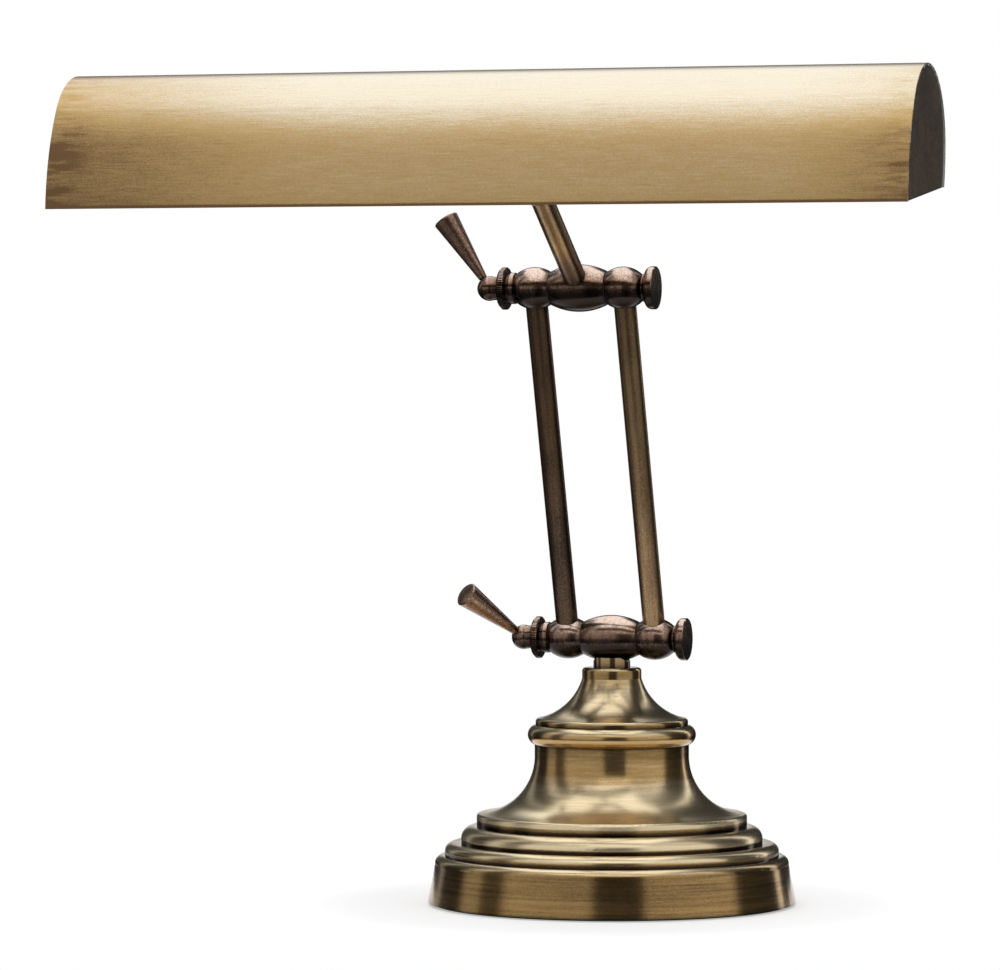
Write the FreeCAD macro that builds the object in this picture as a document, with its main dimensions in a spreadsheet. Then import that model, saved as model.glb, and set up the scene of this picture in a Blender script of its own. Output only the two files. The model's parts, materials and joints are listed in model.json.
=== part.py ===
import FreeCAD, Part
import math
import os
import Sketcher
from types import SimpleNamespace

# Piano lamp: a weighted, stepped round base carries a pair of parallel arms between two clamped
# friction joints, and a short upper arm with a swivel that holds a long half-round shade.
# Millimetres; origin at the centre of the base's underside, +Z up, +X along the joint bars and the
# shade, -Y towards the player. Angles are in degrees.

Vector = FreeCAD.Vector

SIZES = {
    # weighted base, from the floor up
    "felt_thickness": 2.0,
    "felt_margin": 1.2,
    "rim_lift": 0.8,
    "base_diameter": 158.5,
    "base_wall": 1.2,
    "foot_flare": 2.85,
    "foot_height": 17.4,
    "foot_shoulder": 3.6,
    "foot_ledge": 0.8,
    "lower_ring_band": 1.8,
    "lower_ring_round": 3.4,
    "lower_ring_ledge": 3.6,
    "upper_ring_band": 2.0,
    "upper_ring_round": 5.2,
    "upper_ring_ledge": 1.5,
    "bell_foot_band": 4.2,
    "bell_foot_round": 1.2,
    "bell_flare_height": 26.0,
    "bell_flare_reach": 23.8,
    "bell_waist_height": 3.8,
    "weight_margin": 3.4,
    "weight_step_margin": 1.4,
    "weight_recess_diameter": 44.0,
    "weight_recess_depth": 11.0,
    "cord_channel_width": 10.0,
    "cord_channel_depth": 11.0,
    # upper cap of the base
    "cap_bead_height": 8.4,
    "cap_bead_swell": 3.0,
    "cap_rim_inset": 0.4,
    "cap_rim_height": 1.4,
    "cap_rim_round": 1.6,
    "cap_flare_height": 17.0,
    "cap_flare_sagitta": 3.4,
    "cap_top_diameter": 25.6,
    "cap_top_height": 3.2,
    "cap_top_round": 1.6,
    # threaded stem and what it clamps
    "stem_diameter": 9.6,
    "stem_bore": 6.4,
    "stem_tail": 1.4,
    "stem_engagement": 6.0,
    "stem_clearance": 0.4,
    "stem_washer_diameter": 22.0,
    "stem_washer_thickness": 1.2,
    "stem_nut_flats": 15.0,
    "stem_nut_thickness": 4.0,
    "neck_diameter": 15.9,
    "neck_height": 12.5,
    "neck_seat_drop": 8.2,
    # cord inlet in the back of the foot
    "inlet_height": 9.6,
    "inlet_hole": 9.6,
    "inlet_flange_diameter": 12.6,
    "inlet_flange_thickness": 1.6,
    "inlet_bore": 6.4,
    "inlet_depth": 4.2,
    # friction joints
    "barrel_half_length": 12.1,
    "barrel_diameter": 20.1,
    "barrel_end_diameter": 14.4,
    "friction_washer_thickness": 0.42,
    "face_gap": 0.08,
    "knuckle_diameter": 18.0,
    "knuckle_inner_diameter": 14.0,
    "knuckle_length": 14.5,
    "knuckle_outer_diameter": 12.8,
    "ring_groove_width": 0.5,
    "ring_groove_diameter": 11.6,
    "ring_diameter": 13.3,
    "ring_width": 2.4,
    "ring_edge": 0.35,
    "right_knuckle_length": 15.2,
    "right_knuckle_outer_diameter": 10.8,
    "clamp_rod_diameter": 6.0,
    "running_clearance": 0.05,
    "lock_washer_diameter": 12.2,
    "lock_washer_thickness": 1.4,
    "knurled_nut_diameter": 18.1,
    "knurled_nut_width": 3.0,
    "knurled_nut_bevel": 1.1,
    "knurled_nut_edge": 0.3,
    "knurl_depth": 0.4,
    "knurl_width": 1.1,
    "end_disc_diameter": 18.2,
    "end_disc_rim": 1.9,
    "end_disc_edge": 0.3,
    "end_disc_back_diameter": 13.8,
    "end_disc_back_length": 2.4,
    "end_disc_back_sagitta": 0.6,
    "end_bead_diameter": 12.0,
    "end_bead_width": 1.6,
    # clamp levers
    "lever_hub_diameter": 10.0,
    "lever_ball_diameter": 10.6,
    "lever_ball_reach": 4.9,
    "lever_length": 36.3,
    "lever_thin_diameter": 3.6,
    "lever_thick_diameter": 10.9,
    "lever_end_edge": 0.6,
    "lever_end_dome": 0.7,
    "lever_stud_diameter": 3.0,
    "lever_stud_depth": 3.0,
    "lever_splay_angle": 33.3,
    "lower_lever_turn_angle": 49.5,
    "upper_lever_turn_angle": 1.5,
    # arms
    "arm_length": 158.75,
    "arm_lean_angle": 18.7,
    "arm_half_spacing": 19.4,
    "tube_diameter": 9.5,
    "tube_wall": 1.0,
    "socket_clearance": 0.05,
    "socket_floor": 4.2,
    "upper_socket_floor": 5.6,
    "upper_arm_reach": 91.5,
    "upper_arm_lean_angle": 57.4,
    # swivel between the upper arm and the shade
    "swivel_radius": 6.2,
    "swivel_collar_diameter": 13.8,
    "swivel_socket_length": 11.5,
    "swivel_socket_depth": 8.0,
    "swivel_slot": 5.2,
    "swivel_slot_depth": 8.0,
    "swivel_eye_thickness": 5.0,
    "swivel_screw_diameter": 4.0,
    "swivel_head_diameter": 7.4,
    "swivel_head_height": 2.2,
    "swivel_screw_slot": 0.9,
    "swivel_nut_flats": 7.6,
    "swivel_nut_thickness": 2.8,
    "swivel_standoff": 16.0,
    "swivel_drop_angle": 11.1,
    "swivel_neck_diameter": 10.0,
    "swivel_neck_gap": 1.0,
    "swivel_flange_diameter": 13.0,
    "swivel_flange_thickness": 3.0,
    "stud_diameter": 8.0,
    "stud_bore": 4.4,
    "stud_length": 11.0,
    "stud_nut_flats": 12.0,
    "stud_nut_thickness": 4.0,
    "stud_washer_diameter": 13.6,
    "stud_washer_thickness": 1.0,
    # half-round shade
    "shade_tilt_angle": 6.5,
    "shade_length": 355.6,
    "shade_wall": 1.0,
    "shade_top_radius": 30.7,
    "shade_front_radius": 89.0,
    "shade_back_radius": 58.0,
    "shade_crown_offset": 40.9,
    "shade_crown_height": 20.3,
    "shade_front_tangent_angle": 36.5,
    "shade_back_tangent_angle": 6.5,
    "shade_lip": 5.0,
    "end_cap_recess": 0.6,
    "end_cap_depth": 4.5,
    "end_cap_thickness": 1.0,
    "end_cap_fit": 0.05,
    # bracket, lampholders and bulbs
    "bracket_thickness": 1.5,
    "bracket_half_width": 11.5,
    "bracket_height": 14.0,
    "bracket_ear_margin": 9.0,
    "lamp_axis_offset": 41.0,
    "lamp_axis_height": 24.5,
    "holder_diameter": 33.6,
    "holder_back_diameter": 27.0,
    "holder_length": 31.4,
    "holder_floor": 7.4,
    "holder_bore": 28.8,
    "holder_neck_length": 2.9,
    "holder_shoulder_length": 3.5,
    "holder_screw_diameter": 3.2,
    "holder_screw_depth": 4.4,
    "holder_screw_head": 6.4,
    "holder_screw_head_height": 2.2,
    "contact_diameter": 10.0,
    "contact_height": 2.0,
    "shell_diameter": 28.5,
    "shell_wall": 0.5,
    "shell_length": 20.0,
    "bulb_cap_diameter": 26.2,
    "bulb_cap_length": 24.5,
    "bulb_cap_wall": 0.5,
    "bulb_diameter": 31.75,
    "bulb_length": 137.0,
    "bulb_glass": 0.8,
    "bulb_neck_diameter": 24.8,
    "bulb_shoulder_length": 9.0,
    "bulb_dome_length": 14.5,
    "filament_length": 92.0,
    "filament_spread": 4.2,
    "filament_wire": 0.9,
    # rotary switch on the shade's back
    "switch_offset": 62.0,
    "switch_width": 18.0,
    "switch_height": 14.0,
    "switch_seat": 0.15,
    "switch_depth": 10.4,
    "switch_bushing_diameter": 9.5,
    "switch_hole_clearance": 0.25,
    "switch_nut_diameter": 15.0,
    "switch_nut_thickness": 2.2,
    "switch_shaft_diameter": 4.0,
    "knob_diameter": 13.0,
    "knob_length": 11.0,
    "knob_gap": 0.5,
    "knob_edge": 0.8,
    "knob_flute": 1.6,
}

KNURL_COUNT = 72
KNOB_FLUTE_COUNT = 12
HEX_SIDES = 6
QUARTER_SAGITTA = 1.0 - math.sqrt(0.5)
FULL_TURN = 360.0


# ---------------------------------------------------------------- sizes that carry expressions

class Dim:
    """A length or angle: its number, and the spreadsheet expression that gives it."""

    def __init__(self, value, text):
        self.value = value
        self.text = text

    def __add__(self, other):
        other = dim(other)
        return Dim(self.value + other.value, f"({self.text} + {other.text})")

    def __sub__(self, other):
        other = dim(other)
        return Dim(self.value - other.value, f"({self.text} - {other.text})")

    def __mul__(self, other):
        other = dim(other)
        return Dim(self.value * other.value, f"({self.text} * {other.text})")

    def __truediv__(self, other):
        other = dim(other)
        return Dim(self.value / other.value, f"({self.text} / {other.text})")

    def __neg__(self):
        return self * -1.0


def dim(number):
    """The number itself if it is a Dim already, else a constant one."""
    return number if isinstance(number, Dim) else Dim(float(number), repr(float(number)))


def sine(angle):
    return Dim(math.sin(math.radians(angle.value)), f"sin({angle.text})")


def cosine(angle):
    return Dim(math.cos(math.radians(angle.value)), f"cos({angle.text})")


def root(number):
    return Dim(math.sqrt(number.value), f"sqrt({number.text})")


def across(radius, offset):
    """Half the chord of a circle at a distance from its centre."""
    return root(radius * radius - offset * offset)


# ---------------------------------------------------------------- document and frames

doc = FreeCAD.newDocument("PianoLamp")
sheet = doc.addObject("Spreadsheet::Sheet", "Sizes")
for row, (name, number) in enumerate(SIZES.items(), start=1):
    sheet.set(f"A{row}", name)
    sheet.set(f"B{row}", str(number))
    sheet.setAlias(f"B{row}", name)
doc.recompute()
S = SimpleNamespace(**{name: Dim(number, "Sizes." + name) for name, number in SIZES.items()})


class Frame:
    """A place that pieces share: a point on the YZ plane and a turn about X."""

    def __init__(self, y, z, turn):
        self.y = dim(y)
        self.z = dim(z)
        self.turn = dim(turn)
        self.first = None

    def point(self, y, z):
        """The frame in which a point of this one is the origin, with the same turn."""
        return Frame(self.y + dim(y) * cosine(self.turn) - dim(z) * sine(self.turn),
                     self.z + dim(y) * sine(self.turn) + dim(z) * cosine(self.turn), self.turn)

    def turned(self, angle):
        """The frame at the same origin, turned further about X."""
        return Frame(self.y, self.z, self.turn + angle)

    def hold(self, piece):
        """Tie a piece's Placement to this frame."""
        if self.first is not None:
            piece.setExpression("Placement", self.first.Name + ".Placement")
            return
        rotation = FreeCAD.Rotation(Vector(1, 0, 0), self.turn.value)
        piece.Placement = FreeCAD.Placement(Vector(0, self.y.value, self.z.value), rotation)
        piece.setExpression("Placement.Base.y", self.y.text)
        piece.setExpression("Placement.Base.z", self.z.text)
        if self.turn.value != 0.0:
            piece.setExpression("Placement.Rotation.Angle", self.turn.text)
        self.first = piece


nodes = []


def new_body(label, frame):
    body = doc.addObject("PartDesign::Body", label)
    body.Label = label
    frame.hold(body)
    nodes.append(body)
    return body


def group(label, pieces):
    """Put like pieces in one node, as separate solids."""
    for piece in pieces:
        nodes.remove(piece)
    compound = doc.addObject("Part::Compound", label)
    compound.Label = label
    compound.Links = pieces
    nodes.append(compound)
    return compound


# ---------------------------------------------------------------- sketches

class Corner:
    """A corner of an outline. The edge that leaves it is straight, or an arc of the given
    radius that turns anticlockwise (+1) or clockwise (-1)."""

    def __init__(self, x, y, radius=None, turn=0):
        self.x = dim(x)
        self.y = dim(y)
        self.radius = radius
        self.turn = turn


def bow(start, end, sagitta):
    """Radius of the arc between two points that stands the given sagitta off its chord."""
    dx = dim(end[0]) - start[0]
    dy = dim(end[1]) - start[1]
    half_squared = (dx * dx + dy * dy) / 4.0
    return (half_squared + sagitta * sagitta) / (dim(sagitta) * 2.0)


def cap_radius(half_width, depth):
    """Radius of the sphere that closes a tube with a cap of the given depth."""
    return (half_width * half_width + depth * depth) / (depth * 2.0)


def new_sketch(body, plane, lift=None, slide=None, rise=None, spin=None, tip=None):
    """A sketch on one of the body's origin planes, lifted along its normal, moved in the
    plane, spun about its normal or tipped about its own x axis."""
    role = plane + "_Plane"
    origin_plane = [item for item in body.Origin.OriginFeatures if item.Role == role][0]
    sketch = body.newObject("Sketcher::SketchObject", body.Name + "_sketch")
    sketch.AttachmentSupport = (origin_plane, [""])
    sketch.MapMode = "FlatFace"
    if spin is not None:
        turn = FreeCAD.Rotation(Vector(0, 0, 1), spin.value)
        sketch.AttachmentOffset = FreeCAD.Placement(Vector(), turn)
        sketch.setExpression("AttachmentOffset.Rotation.Angle", spin.text)
    if tip is not None:
        turn = FreeCAD.Rotation(Vector(-1, 0, 0), tip.value)
        sketch.AttachmentOffset = FreeCAD.Placement(Vector(), turn)
        sketch.setExpression("AttachmentOffset.Rotation.Angle", tip.text)
    for letter, shift in (("x", slide), ("y", rise), ("z", lift)):
        if shift is not None:
            sketch.setExpression("AttachmentOffset.Base." + letter, dim(shift).text)
    return sketch


def pin(sketch, geometry, position, kind, target):
    """Fix one coordinate of a point of a sketch to a size."""
    if target.text == repr(0.0):
        axis = -2 if kind == "DistanceX" else -1
        sketch.addConstraint(Sketcher.Constraint("PointOnObject", geometry, position, axis))
        return
    index = sketch.addConstraint(
        Sketcher.Constraint(kind, -1, 1, geometry, position, target.value))
    sketch.setExpression(f"Constraints[{index}]", target.text)


def fix_radius(sketch, geometry, radius):
    index = sketch.addConstraint(Sketcher.Constraint("Radius", geometry, radius.value))
    sketch.setExpression(f"Constraints[{index}]", radius.text)


def draw_arc(sketch, start, end, radius, turn):
    """Add the shorter arc from start to end. Returns its index and which of its ends is first."""
    half = (end - start) * 0.5
    rise = math.sqrt(max(radius.value ** 2 - half.Length ** 2, 0.0))
    left = Vector(-half.y, half.x, 0).normalize()
    centre = start + half + left * (rise * turn)
    first, last = (start, end) if turn > 0 else (end, start)
    angles = [math.atan2(point.y - centre.y, point.x - centre.x) for point in (first, last)]
    if angles[1] < angles[0]:
        angles[1] += 2.0 * math.pi
    circle = Part.Circle(centre, Vector(0, 0, 1), radius.value)
    edge = sketch.addGeometry(Part.ArcOfCircle(circle, angles[0], angles[1]), False)
    fix_radius(sketch, edge, radius)
    return (edge, 1, 2) if turn > 0 else (edge, 2, 1)


def draw_outline(sketch, corners):
    """Draw a closed outline and fix every corner to its sizes."""
    edges = []
    for here, there in zip(corners, corners[1:] + corners[:1]):
        start = Vector(here.x.value, here.y.value, 0)
        end = Vector(there.x.value, there.y.value, 0)
        if here.turn == 0:
            edge = sketch.addGeometry(Part.LineSegment(start, end), False)
            edges.append((edge, 1, 2))
        else:
            edges.append(draw_arc(sketch, start, end, here.radius, here.turn))
    for (edge, _, last), (following, first, _) in zip(edges, edges[1:] + edges[:1]):
        sketch.addConstraint(Sketcher.Constraint("Coincident", edge, last, following, first))
    for corner, (edge, first, _) in zip(corners, edges):
        pin(sketch, edge, first, "DistanceX", corner.x)
        pin(sketch, edge, first, "DistanceY", corner.y)


def draw_circle(sketch, radius, x=0.0, y=0.0):
    centre = Vector(dim(x).value, dim(y).value, 0)
    circle = sketch.addGeometry(Part.Circle(centre, Vector(0, 0, 1), radius.value), False)
    fix_radius(sketch, circle, radius)
    pin(sketch, circle, 3, "DistanceX", dim(x))
    pin(sketch, circle, 3, "DistanceY", dim(y))


def box_outline(x_low, x_high, y_low, y_high):
    return [Corner(x_low, y_low), Corner(x_high, y_low),
            Corner(x_high, y_high), Corner(x_low, y_high)]


def hexagon(flats):
    """Outline of a nut, given its width across flats."""
    reach = flats / (2.0 * math.cos(math.pi / HEX_SIDES))
    angles = [2.0 * math.pi * side / HEX_SIDES for side in range(HEX_SIDES)]
    return [Corner(reach * math.cos(angle), reach * math.sin(angle)) for angle in angles]


def mirrored(corners, side):
    """The outline itself for side +1, and its mirror image in the y axis for side -1."""
    if side > 0:
        return corners
    return [Corner(-corner.x, corner.y, corner.radius, -corner.turn) for corner in corners]


# ---------------------------------------------------------------- features

def tip_volume(body):
    return body.Tip.Shape.Volume if body.Tip is not None else 0.0


def finish(body, feature, sketch, adds):
    """Recompute after a feature, and see that it added or removed material."""
    before = tip_volume(body)
    body.Tip = feature
    doc.recompute()
    sketch.Visibility = False
    change = feature.Shape.Volume - before
    if (adds and change <= 0.0) or (not adds and change >= 0.0):
        raise RuntimeError(f"{feature.Name} changed the volume of {body.Label} by {change}")


def add_feature(body, kind, sketch):
    previous = body.Tip
    feature = body.newObject("PartDesign::" + kind, body.Name + "_" + kind.lower())
    feature.Profile = sketch
    body.Tip = previous
    return feature


def revolve(body, corners, axis="H_Axis", spin=None, slide=None):
    """Turn an outline in the XZ plane about the sketch's own axis."""
    sketch = new_sketch(body, "XZ", spin=spin, slide=slide)
    draw_outline(sketch, corners)
    feature = add_feature(body, "Revolution", sketch)
    feature.ReferenceAxis = (sketch, [axis])
    feature.Angle = FULL_TURN
    finish(body, feature, sketch, adds=True)


def groove(body, corners, axis="H_Axis", spin=None, slide=None):
    sketch = new_sketch(body, "XZ", spin=spin, slide=slide)
    draw_outline(sketch, corners)
    feature = add_feature(body, "Groove", sketch)
    feature.ReferenceAxis = (sketch, [axis])
    feature.Angle = FULL_TURN
    finish(body, feature, sketch, adds=False)


def pad(body, sketch, length, both_ways=False):
    feature = add_feature(body, "Pad", sketch)
    feature.setExpression("Length", dim(length).text)
    feature.Midplane = both_ways
    finish(body, feature, sketch, adds=True)


def pocket(body, sketch, length, forward=True, both_ways=False):
    """Cut along the sketch's normal when forward, else against it."""
    feature = add_feature(body, "Pocket", sketch)
    feature.setExpression("Length", dim(length).text)
    feature.Midplane = both_ways
    feature.Reversed = forward
    finish(body, feature, sketch, adds=False)
    return feature


def repeat_about(body, feature, plane_axis, count):
    """Repeat a cut evenly round one of the body's own axes."""
    before = tip_volume(body)
    axis = [item for item in body.Origin.OriginFeatures if item.Role == plane_axis + "_Axis"][0]
    pattern = body.newObject("PartDesign::PolarPattern", body.Name + "_pattern")
    pattern.Originals = [feature]
    pattern.Axis = (axis, [""])
    pattern.Angle = FULL_TURN
    pattern.Occurrences = count
    body.Tip = pattern
    doc.recompute()
    if pattern.Shape.Volume >= before:
        raise RuntimeError(f"The pattern removed nothing from {body.Label}")


def ring(label, frame, plane, outer, inner, lift, length, x=0.0, y=0.0):
    """A washer, tube or bushing: two circles, padded along a plane's normal."""
    body = new_body(label, frame)
    sketch = new_sketch(body, plane, lift=lift)
    draw_circle(sketch, outer, x, y)
    draw_circle(sketch, inner, x, y)
    pad(body, sketch, length)
    return body


# ---------------------------------------------------------------- derived sizes

# heights of the base's steps above the floor
shoulder_top = S.foot_height + S.foot_shoulder
lower_ring_top = shoulder_top + S.lower_ring_band + S.lower_ring_round
upper_ring_top = lower_ring_top + S.upper_ring_band + S.upper_ring_round
bell_foot_top = upper_ring_top + S.bell_foot_band + S.bell_foot_round
waist_bottom = bell_foot_top + S.bell_flare_height
deck_top = waist_bottom + S.bell_waist_height
bead_top = deck_top + S.cap_bead_height
cap_rim_top = bead_top + S.cap_rim_height + S.cap_rim_round
cap_flare_top = cap_rim_top + S.cap_flare_height
cap_top = cap_flare_top + S.cap_top_height + S.cap_top_round
joint_height = cap_top + S.neck_height
weight_ceiling = S.felt_thickness + S.weight_recess_depth

# radii of the base's steps, from the foot inwards
foot_radius = S.base_diameter / 2.0
foot_top_radius = foot_radius - S.foot_flare
lower_ring_radius = foot_top_radius - S.foot_shoulder - S.foot_ledge
upper_ring_radius = lower_ring_radius - S.lower_ring_round - S.lower_ring_ledge
bell_foot_radius = upper_ring_radius - S.upper_ring_round - S.upper_ring_ledge
waist_radius = bell_foot_radius - S.bell_foot_round - S.bell_flare_reach

# stations along a joint bar, measured outwards from its centre
rod_radius = S.clamp_rod_diameter / 2.0
bore_radius = rod_radius + S.running_clearance
washer_start = S.barrel_half_length + S.face_gap
knuckle_start = washer_start + S.friction_washer_thickness
knuckle_end = knuckle_start + S.knuckle_length
ring_start = knuckle_end + S.ring_groove_width
ring_end = ring_start + S.ring_width
lock_washer_start = ring_end + S.face_gap
knurled_nut_start = lock_washer_start + S.lock_washer_thickness + S.face_gap
knurled_nut_end = knurled_nut_start + S.knurled_nut_width
hub_start = knurled_nut_end + S.face_gap
ball_centre = hub_start + S.lever_ball_reach
rod_end = ball_centre - S.running_clearance
right_knuckle_end = knuckle_start + S.right_knuckle_length
head_start = right_knuckle_end + S.face_gap
bead_end = head_start + S.end_bead_width
disc_back_end = bead_end + S.end_disc_back_length
disc_end = disc_back_end + S.end_disc_rim

# places that pieces share
floor = Frame(0.0, 0.0, 0.0)
lower_joint = Frame(0.0, joint_height, 0.0)
arms = lower_joint.turned(S.arm_lean_angle)
arm_top = arms.point(0.0, S.arm_length)
upper_joint = Frame(arm_top.y, arm_top.z, 0.0)
upper_arm = upper_joint.turned(S.upper_arm_lean_angle)
upper_arm_tip = upper_arm.point(0.0, S.upper_arm_reach)
pivot = Frame(upper_arm_tip.y, upper_arm_tip.z, S.shade_tilt_angle)

# centres of the arcs of the shade's section, from its front lower edge
front_swing = S.shade_front_radius - S.shade_top_radius
front_centre_y = S.shade_crown_offset + front_swing * cosine(S.shade_front_tangent_angle)
front_centre_z = S.shade_crown_height - front_swing * sine(S.shade_front_tangent_angle)
back_swing = S.shade_back_radius - S.shade_top_radius
back_centre_y = S.shade_crown_offset - back_swing * cosine(S.shade_back_tangent_angle)
back_centre_z = S.shade_crown_height + back_swing * sine(S.shade_back_tangent_angle)

# the swivel's pivot stands off the shade's back, square to it
pivot_swing = S.shade_back_radius + S.swivel_standoff
pivot_y = back_centre_y + pivot_swing * cosine(S.swivel_drop_angle)
pivot_z = back_centre_z - pivot_swing * sine(S.swivel_drop_angle)
shade = pivot.point(-pivot_y, -pivot_z)
stud = pivot.turned(-S.swivel_drop_angle)
lamp_axis = shade.point(S.lamp_axis_offset, S.lamp_axis_height)

# the lamp axis as seen from the stud
lamp_back = pivot_y - S.lamp_axis_offset
lamp_rise = S.lamp_axis_height - pivot_z
lamp_stud_y = -(lamp_back * cosine(S.swivel_drop_angle)) - lamp_rise * sine(S.swivel_drop_angle)
lamp_stud_z = lamp_rise * cosine(S.swivel_drop_angle) - lamp_back * sine(S.swivel_drop_angle)


# ---------------------------------------------------------------- base

def shifted(corners, step):
    """The inside of a spun sheet: its outside, moved inwards and down by the wall."""
    moved = []
    for corner in corners:
        moved.append(Corner(corner.x - step, corner.y - step, corner.radius, corner.turn))
    return moved


def reversed_path(corners):
    """The same path walked the other way; arcs stay on the edges that they belong to."""
    back = []
    path = list(reversed(corners))
    for index, corner in enumerate(path):
        edge = path[index + 1] if index + 1 < len(path) else None
        if edge is None:
            back.append(Corner(corner.x, corner.y))
        else:
            back.append(Corner(corner.x, corner.y, edge.radius, -edge.turn))
    return back


def make_felt_pad():
    body = new_body("felt_pad", floor)
    sketch = new_sketch(body, "XY")
    draw_circle(sketch, foot_radius - S.base_wall - S.felt_margin)
    pad(body, sketch, S.felt_thickness)


def make_base_weight():
    """Iron weight that fills the foot, with a recess for the nut and a channel for the cord."""
    body = new_body("base_weight", floor)
    outer = foot_top_radius - S.weight_margin
    step = upper_ring_radius + S.weight_step_margin
    shoulder = S.foot_height
    top = lower_ring_top - S.base_wall
    hole = S.stem_diameter / 2.0 + S.stem_clearance
    recess = S.weight_recess_diameter / 2.0
    revolve(body, [
        Corner(recess, S.felt_thickness),
        Corner(outer, S.felt_thickness),
        Corner(outer, shoulder),
        Corner(step, shoulder),
        Corner(step, top),
        Corner(hole, top),
        Corner(hole, weight_ceiling),
        Corner(recess, weight_ceiling),
    ], axis="V_Axis")
    channel = new_sketch(body, "XY", lift=S.felt_thickness)
    half_width = S.cord_channel_width / 2.0
    draw_outline(channel, box_outline(-half_width, half_width, 0.0, foot_radius))
    pocket(body, channel, S.cord_channel_depth)


def make_base_skirt():
    """Spun shell: flared foot, two rounded steps, bell and a flat deck at its top."""
    body = new_body("base_skirt", floor)
    quarter = 1
    chord = root(S.bell_flare_reach * S.bell_flare_reach
                 + S.bell_flare_height * S.bell_flare_height)
    flare_radius = chord * math.sqrt(0.5)
    hole = S.stem_diameter / 2.0 + S.stem_clearance
    path = [
        Corner(foot_top_radius, S.foot_height, S.foot_shoulder, quarter),
        Corner(foot_top_radius - S.foot_shoulder, shoulder_top),
        Corner(lower_ring_radius, shoulder_top),
        Corner(lower_ring_radius, shoulder_top + S.lower_ring_band, S.lower_ring_round, quarter),
        Corner(lower_ring_radius - S.lower_ring_round, lower_ring_top),
        Corner(upper_ring_radius, lower_ring_top),
        Corner(upper_ring_radius, lower_ring_top + S.upper_ring_band, S.upper_ring_round, quarter),
        Corner(upper_ring_radius - S.upper_ring_round, upper_ring_top),
        Corner(bell_foot_radius, upper_ring_top),
        Corner(bell_foot_radius, upper_ring_top + S.bell_foot_band, S.bell_foot_round, quarter),
        Corner(bell_foot_radius - S.bell_foot_round, bell_foot_top, flare_radius, -quarter),
        Corner(waist_radius, waist_bottom),
        Corner(waist_radius, deck_top),
    ]
    outside = [Corner(foot_radius, S.rim_lift)] + path + [Corner(hole, deck_top)]
    inside = shifted(path, S.base_wall)
    inner_end = [Corner(hole, deck_top - S.base_wall)]
    inner_start = Corner(foot_radius - S.base_wall, S.rim_lift)
    revolve(body, outside + inner_end + reversed_path(inside) + [inner_start], axis="V_Axis")
    inlet = new_sketch(body, "XZ")
    draw_circle(inlet, S.inlet_hole / 2.0, 0.0, S.inlet_height)
    pocket(body, inlet, S.base_diameter, forward=False)


def make_base_cap():
    """Spun cap that closes the bell: beaded edge, small rim, concave flare and a round shoulder."""
    body = new_body("base_cap", floor)
    waist = waist_radius
    rim = waist_radius - S.cap_rim_inset
    top = S.cap_top_diameter / 2.0
    hole = S.stem_diameter / 2.0 + S.stem_clearance
    wall = S.base_wall
    bead = bow((waist, deck_top), (waist, bead_top), S.cap_bead_swell)
    flare_from = (rim - S.cap_rim_round, cap_rim_top)
    flare_to = (top, cap_flare_top)
    flare = bow(flare_from, flare_to, S.cap_flare_sagitta)
    inner_from = (flare_from[0] - wall, flare_from[1] - wall)
    inner_to = (flare_to[0] - wall, flare_to[1] - wall)
    revolve(body, [
        Corner(waist, deck_top, bead, 1),
        Corner(waist, bead_top),
        Corner(rim, bead_top),
        Corner(rim, bead_top + S.cap_rim_height, S.cap_rim_round, 1),
        Corner(flare_from[0], flare_from[1], flare, -1),
        Corner(flare_to[0], flare_to[1]),
        Corner(top, cap_flare_top + S.cap_top_height, S.cap_top_round, 1),
        Corner(top - S.cap_top_round, cap_top),
        Corner(hole, cap_top),
        Corner(hole, cap_top - wall),
        Corner(top - wall, cap_top - wall),
        Corner(inner_to[0], inner_to[1], flare, 1),
        Corner(inner_from[0], inner_from[1]),
        Corner(waist - wall, bead_top - wall),
        Corner(waist - wall, deck_top),
    ], axis="V_Axis")


def make_stem():
    """Hollow threaded stem, its washer and nut under the weight, and the neck collar on top."""
    washer_bottom = weight_ceiling - S.stem_washer_thickness
    nut_bottom = washer_bottom - S.stem_nut_thickness
    stem_bottom = nut_bottom - S.stem_tail
    stem_top = joint_height - S.barrel_diameter / 2.0 + S.stem_engagement
    stem_radius = S.stem_diameter / 2.0
    ring("stem_pipe", floor, "XY", stem_radius, S.stem_bore / 2.0,
         stem_bottom, stem_top - stem_bottom)
    ring("stem_washer", floor, "XY", S.stem_washer_diameter / 2.0,
         stem_radius + S.running_clearance, washer_bottom, S.stem_washer_thickness)
    nut = new_body("stem_nut", floor)
    sketch = new_sketch(nut, "XY", lift=nut_bottom)
    draw_outline(sketch, hexagon(S.stem_nut_flats))
    draw_circle(sketch, stem_radius + S.running_clearance)
    pad(nut, sketch, S.stem_nut_thickness)
    neck = ring("neck_collar", floor, "XY", S.neck_diameter / 2.0,
                stem_radius + S.running_clearance, cap_top, S.neck_height - S.neck_seat_drop)
    saddle = new_sketch(neck, "YZ")
    draw_circle(saddle, S.barrel_diameter / 2.0, 0.0, joint_height)
    pocket(neck, saddle, S.barrel_half_length * 2.0, both_ways=True)


def make_cord_inlet():
    """Plastic bushing in the back of the foot, left open: it holds no cord."""
    wall_outside = foot_radius
    body = ring("cord_inlet_bushing", floor, "XZ", S.inlet_hole / 2.0 - S.socket_clearance,
                S.inlet_bore / 2.0, -wall_outside, S.inlet_depth, 0.0, S.inlet_height)
    flange = new_sketch(body, "XZ", lift=-(wall_outside + S.inlet_flange_thickness))
    draw_circle(flange, S.inlet_flange_diameter / 2.0, 0.0, S.inlet_height)
    draw_circle(flange, S.inlet_bore / 2.0, 0.0, S.inlet_height)
    pad(body, flange, S.inlet_flange_thickness)


# ---------------------------------------------------------------- friction joints

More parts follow.
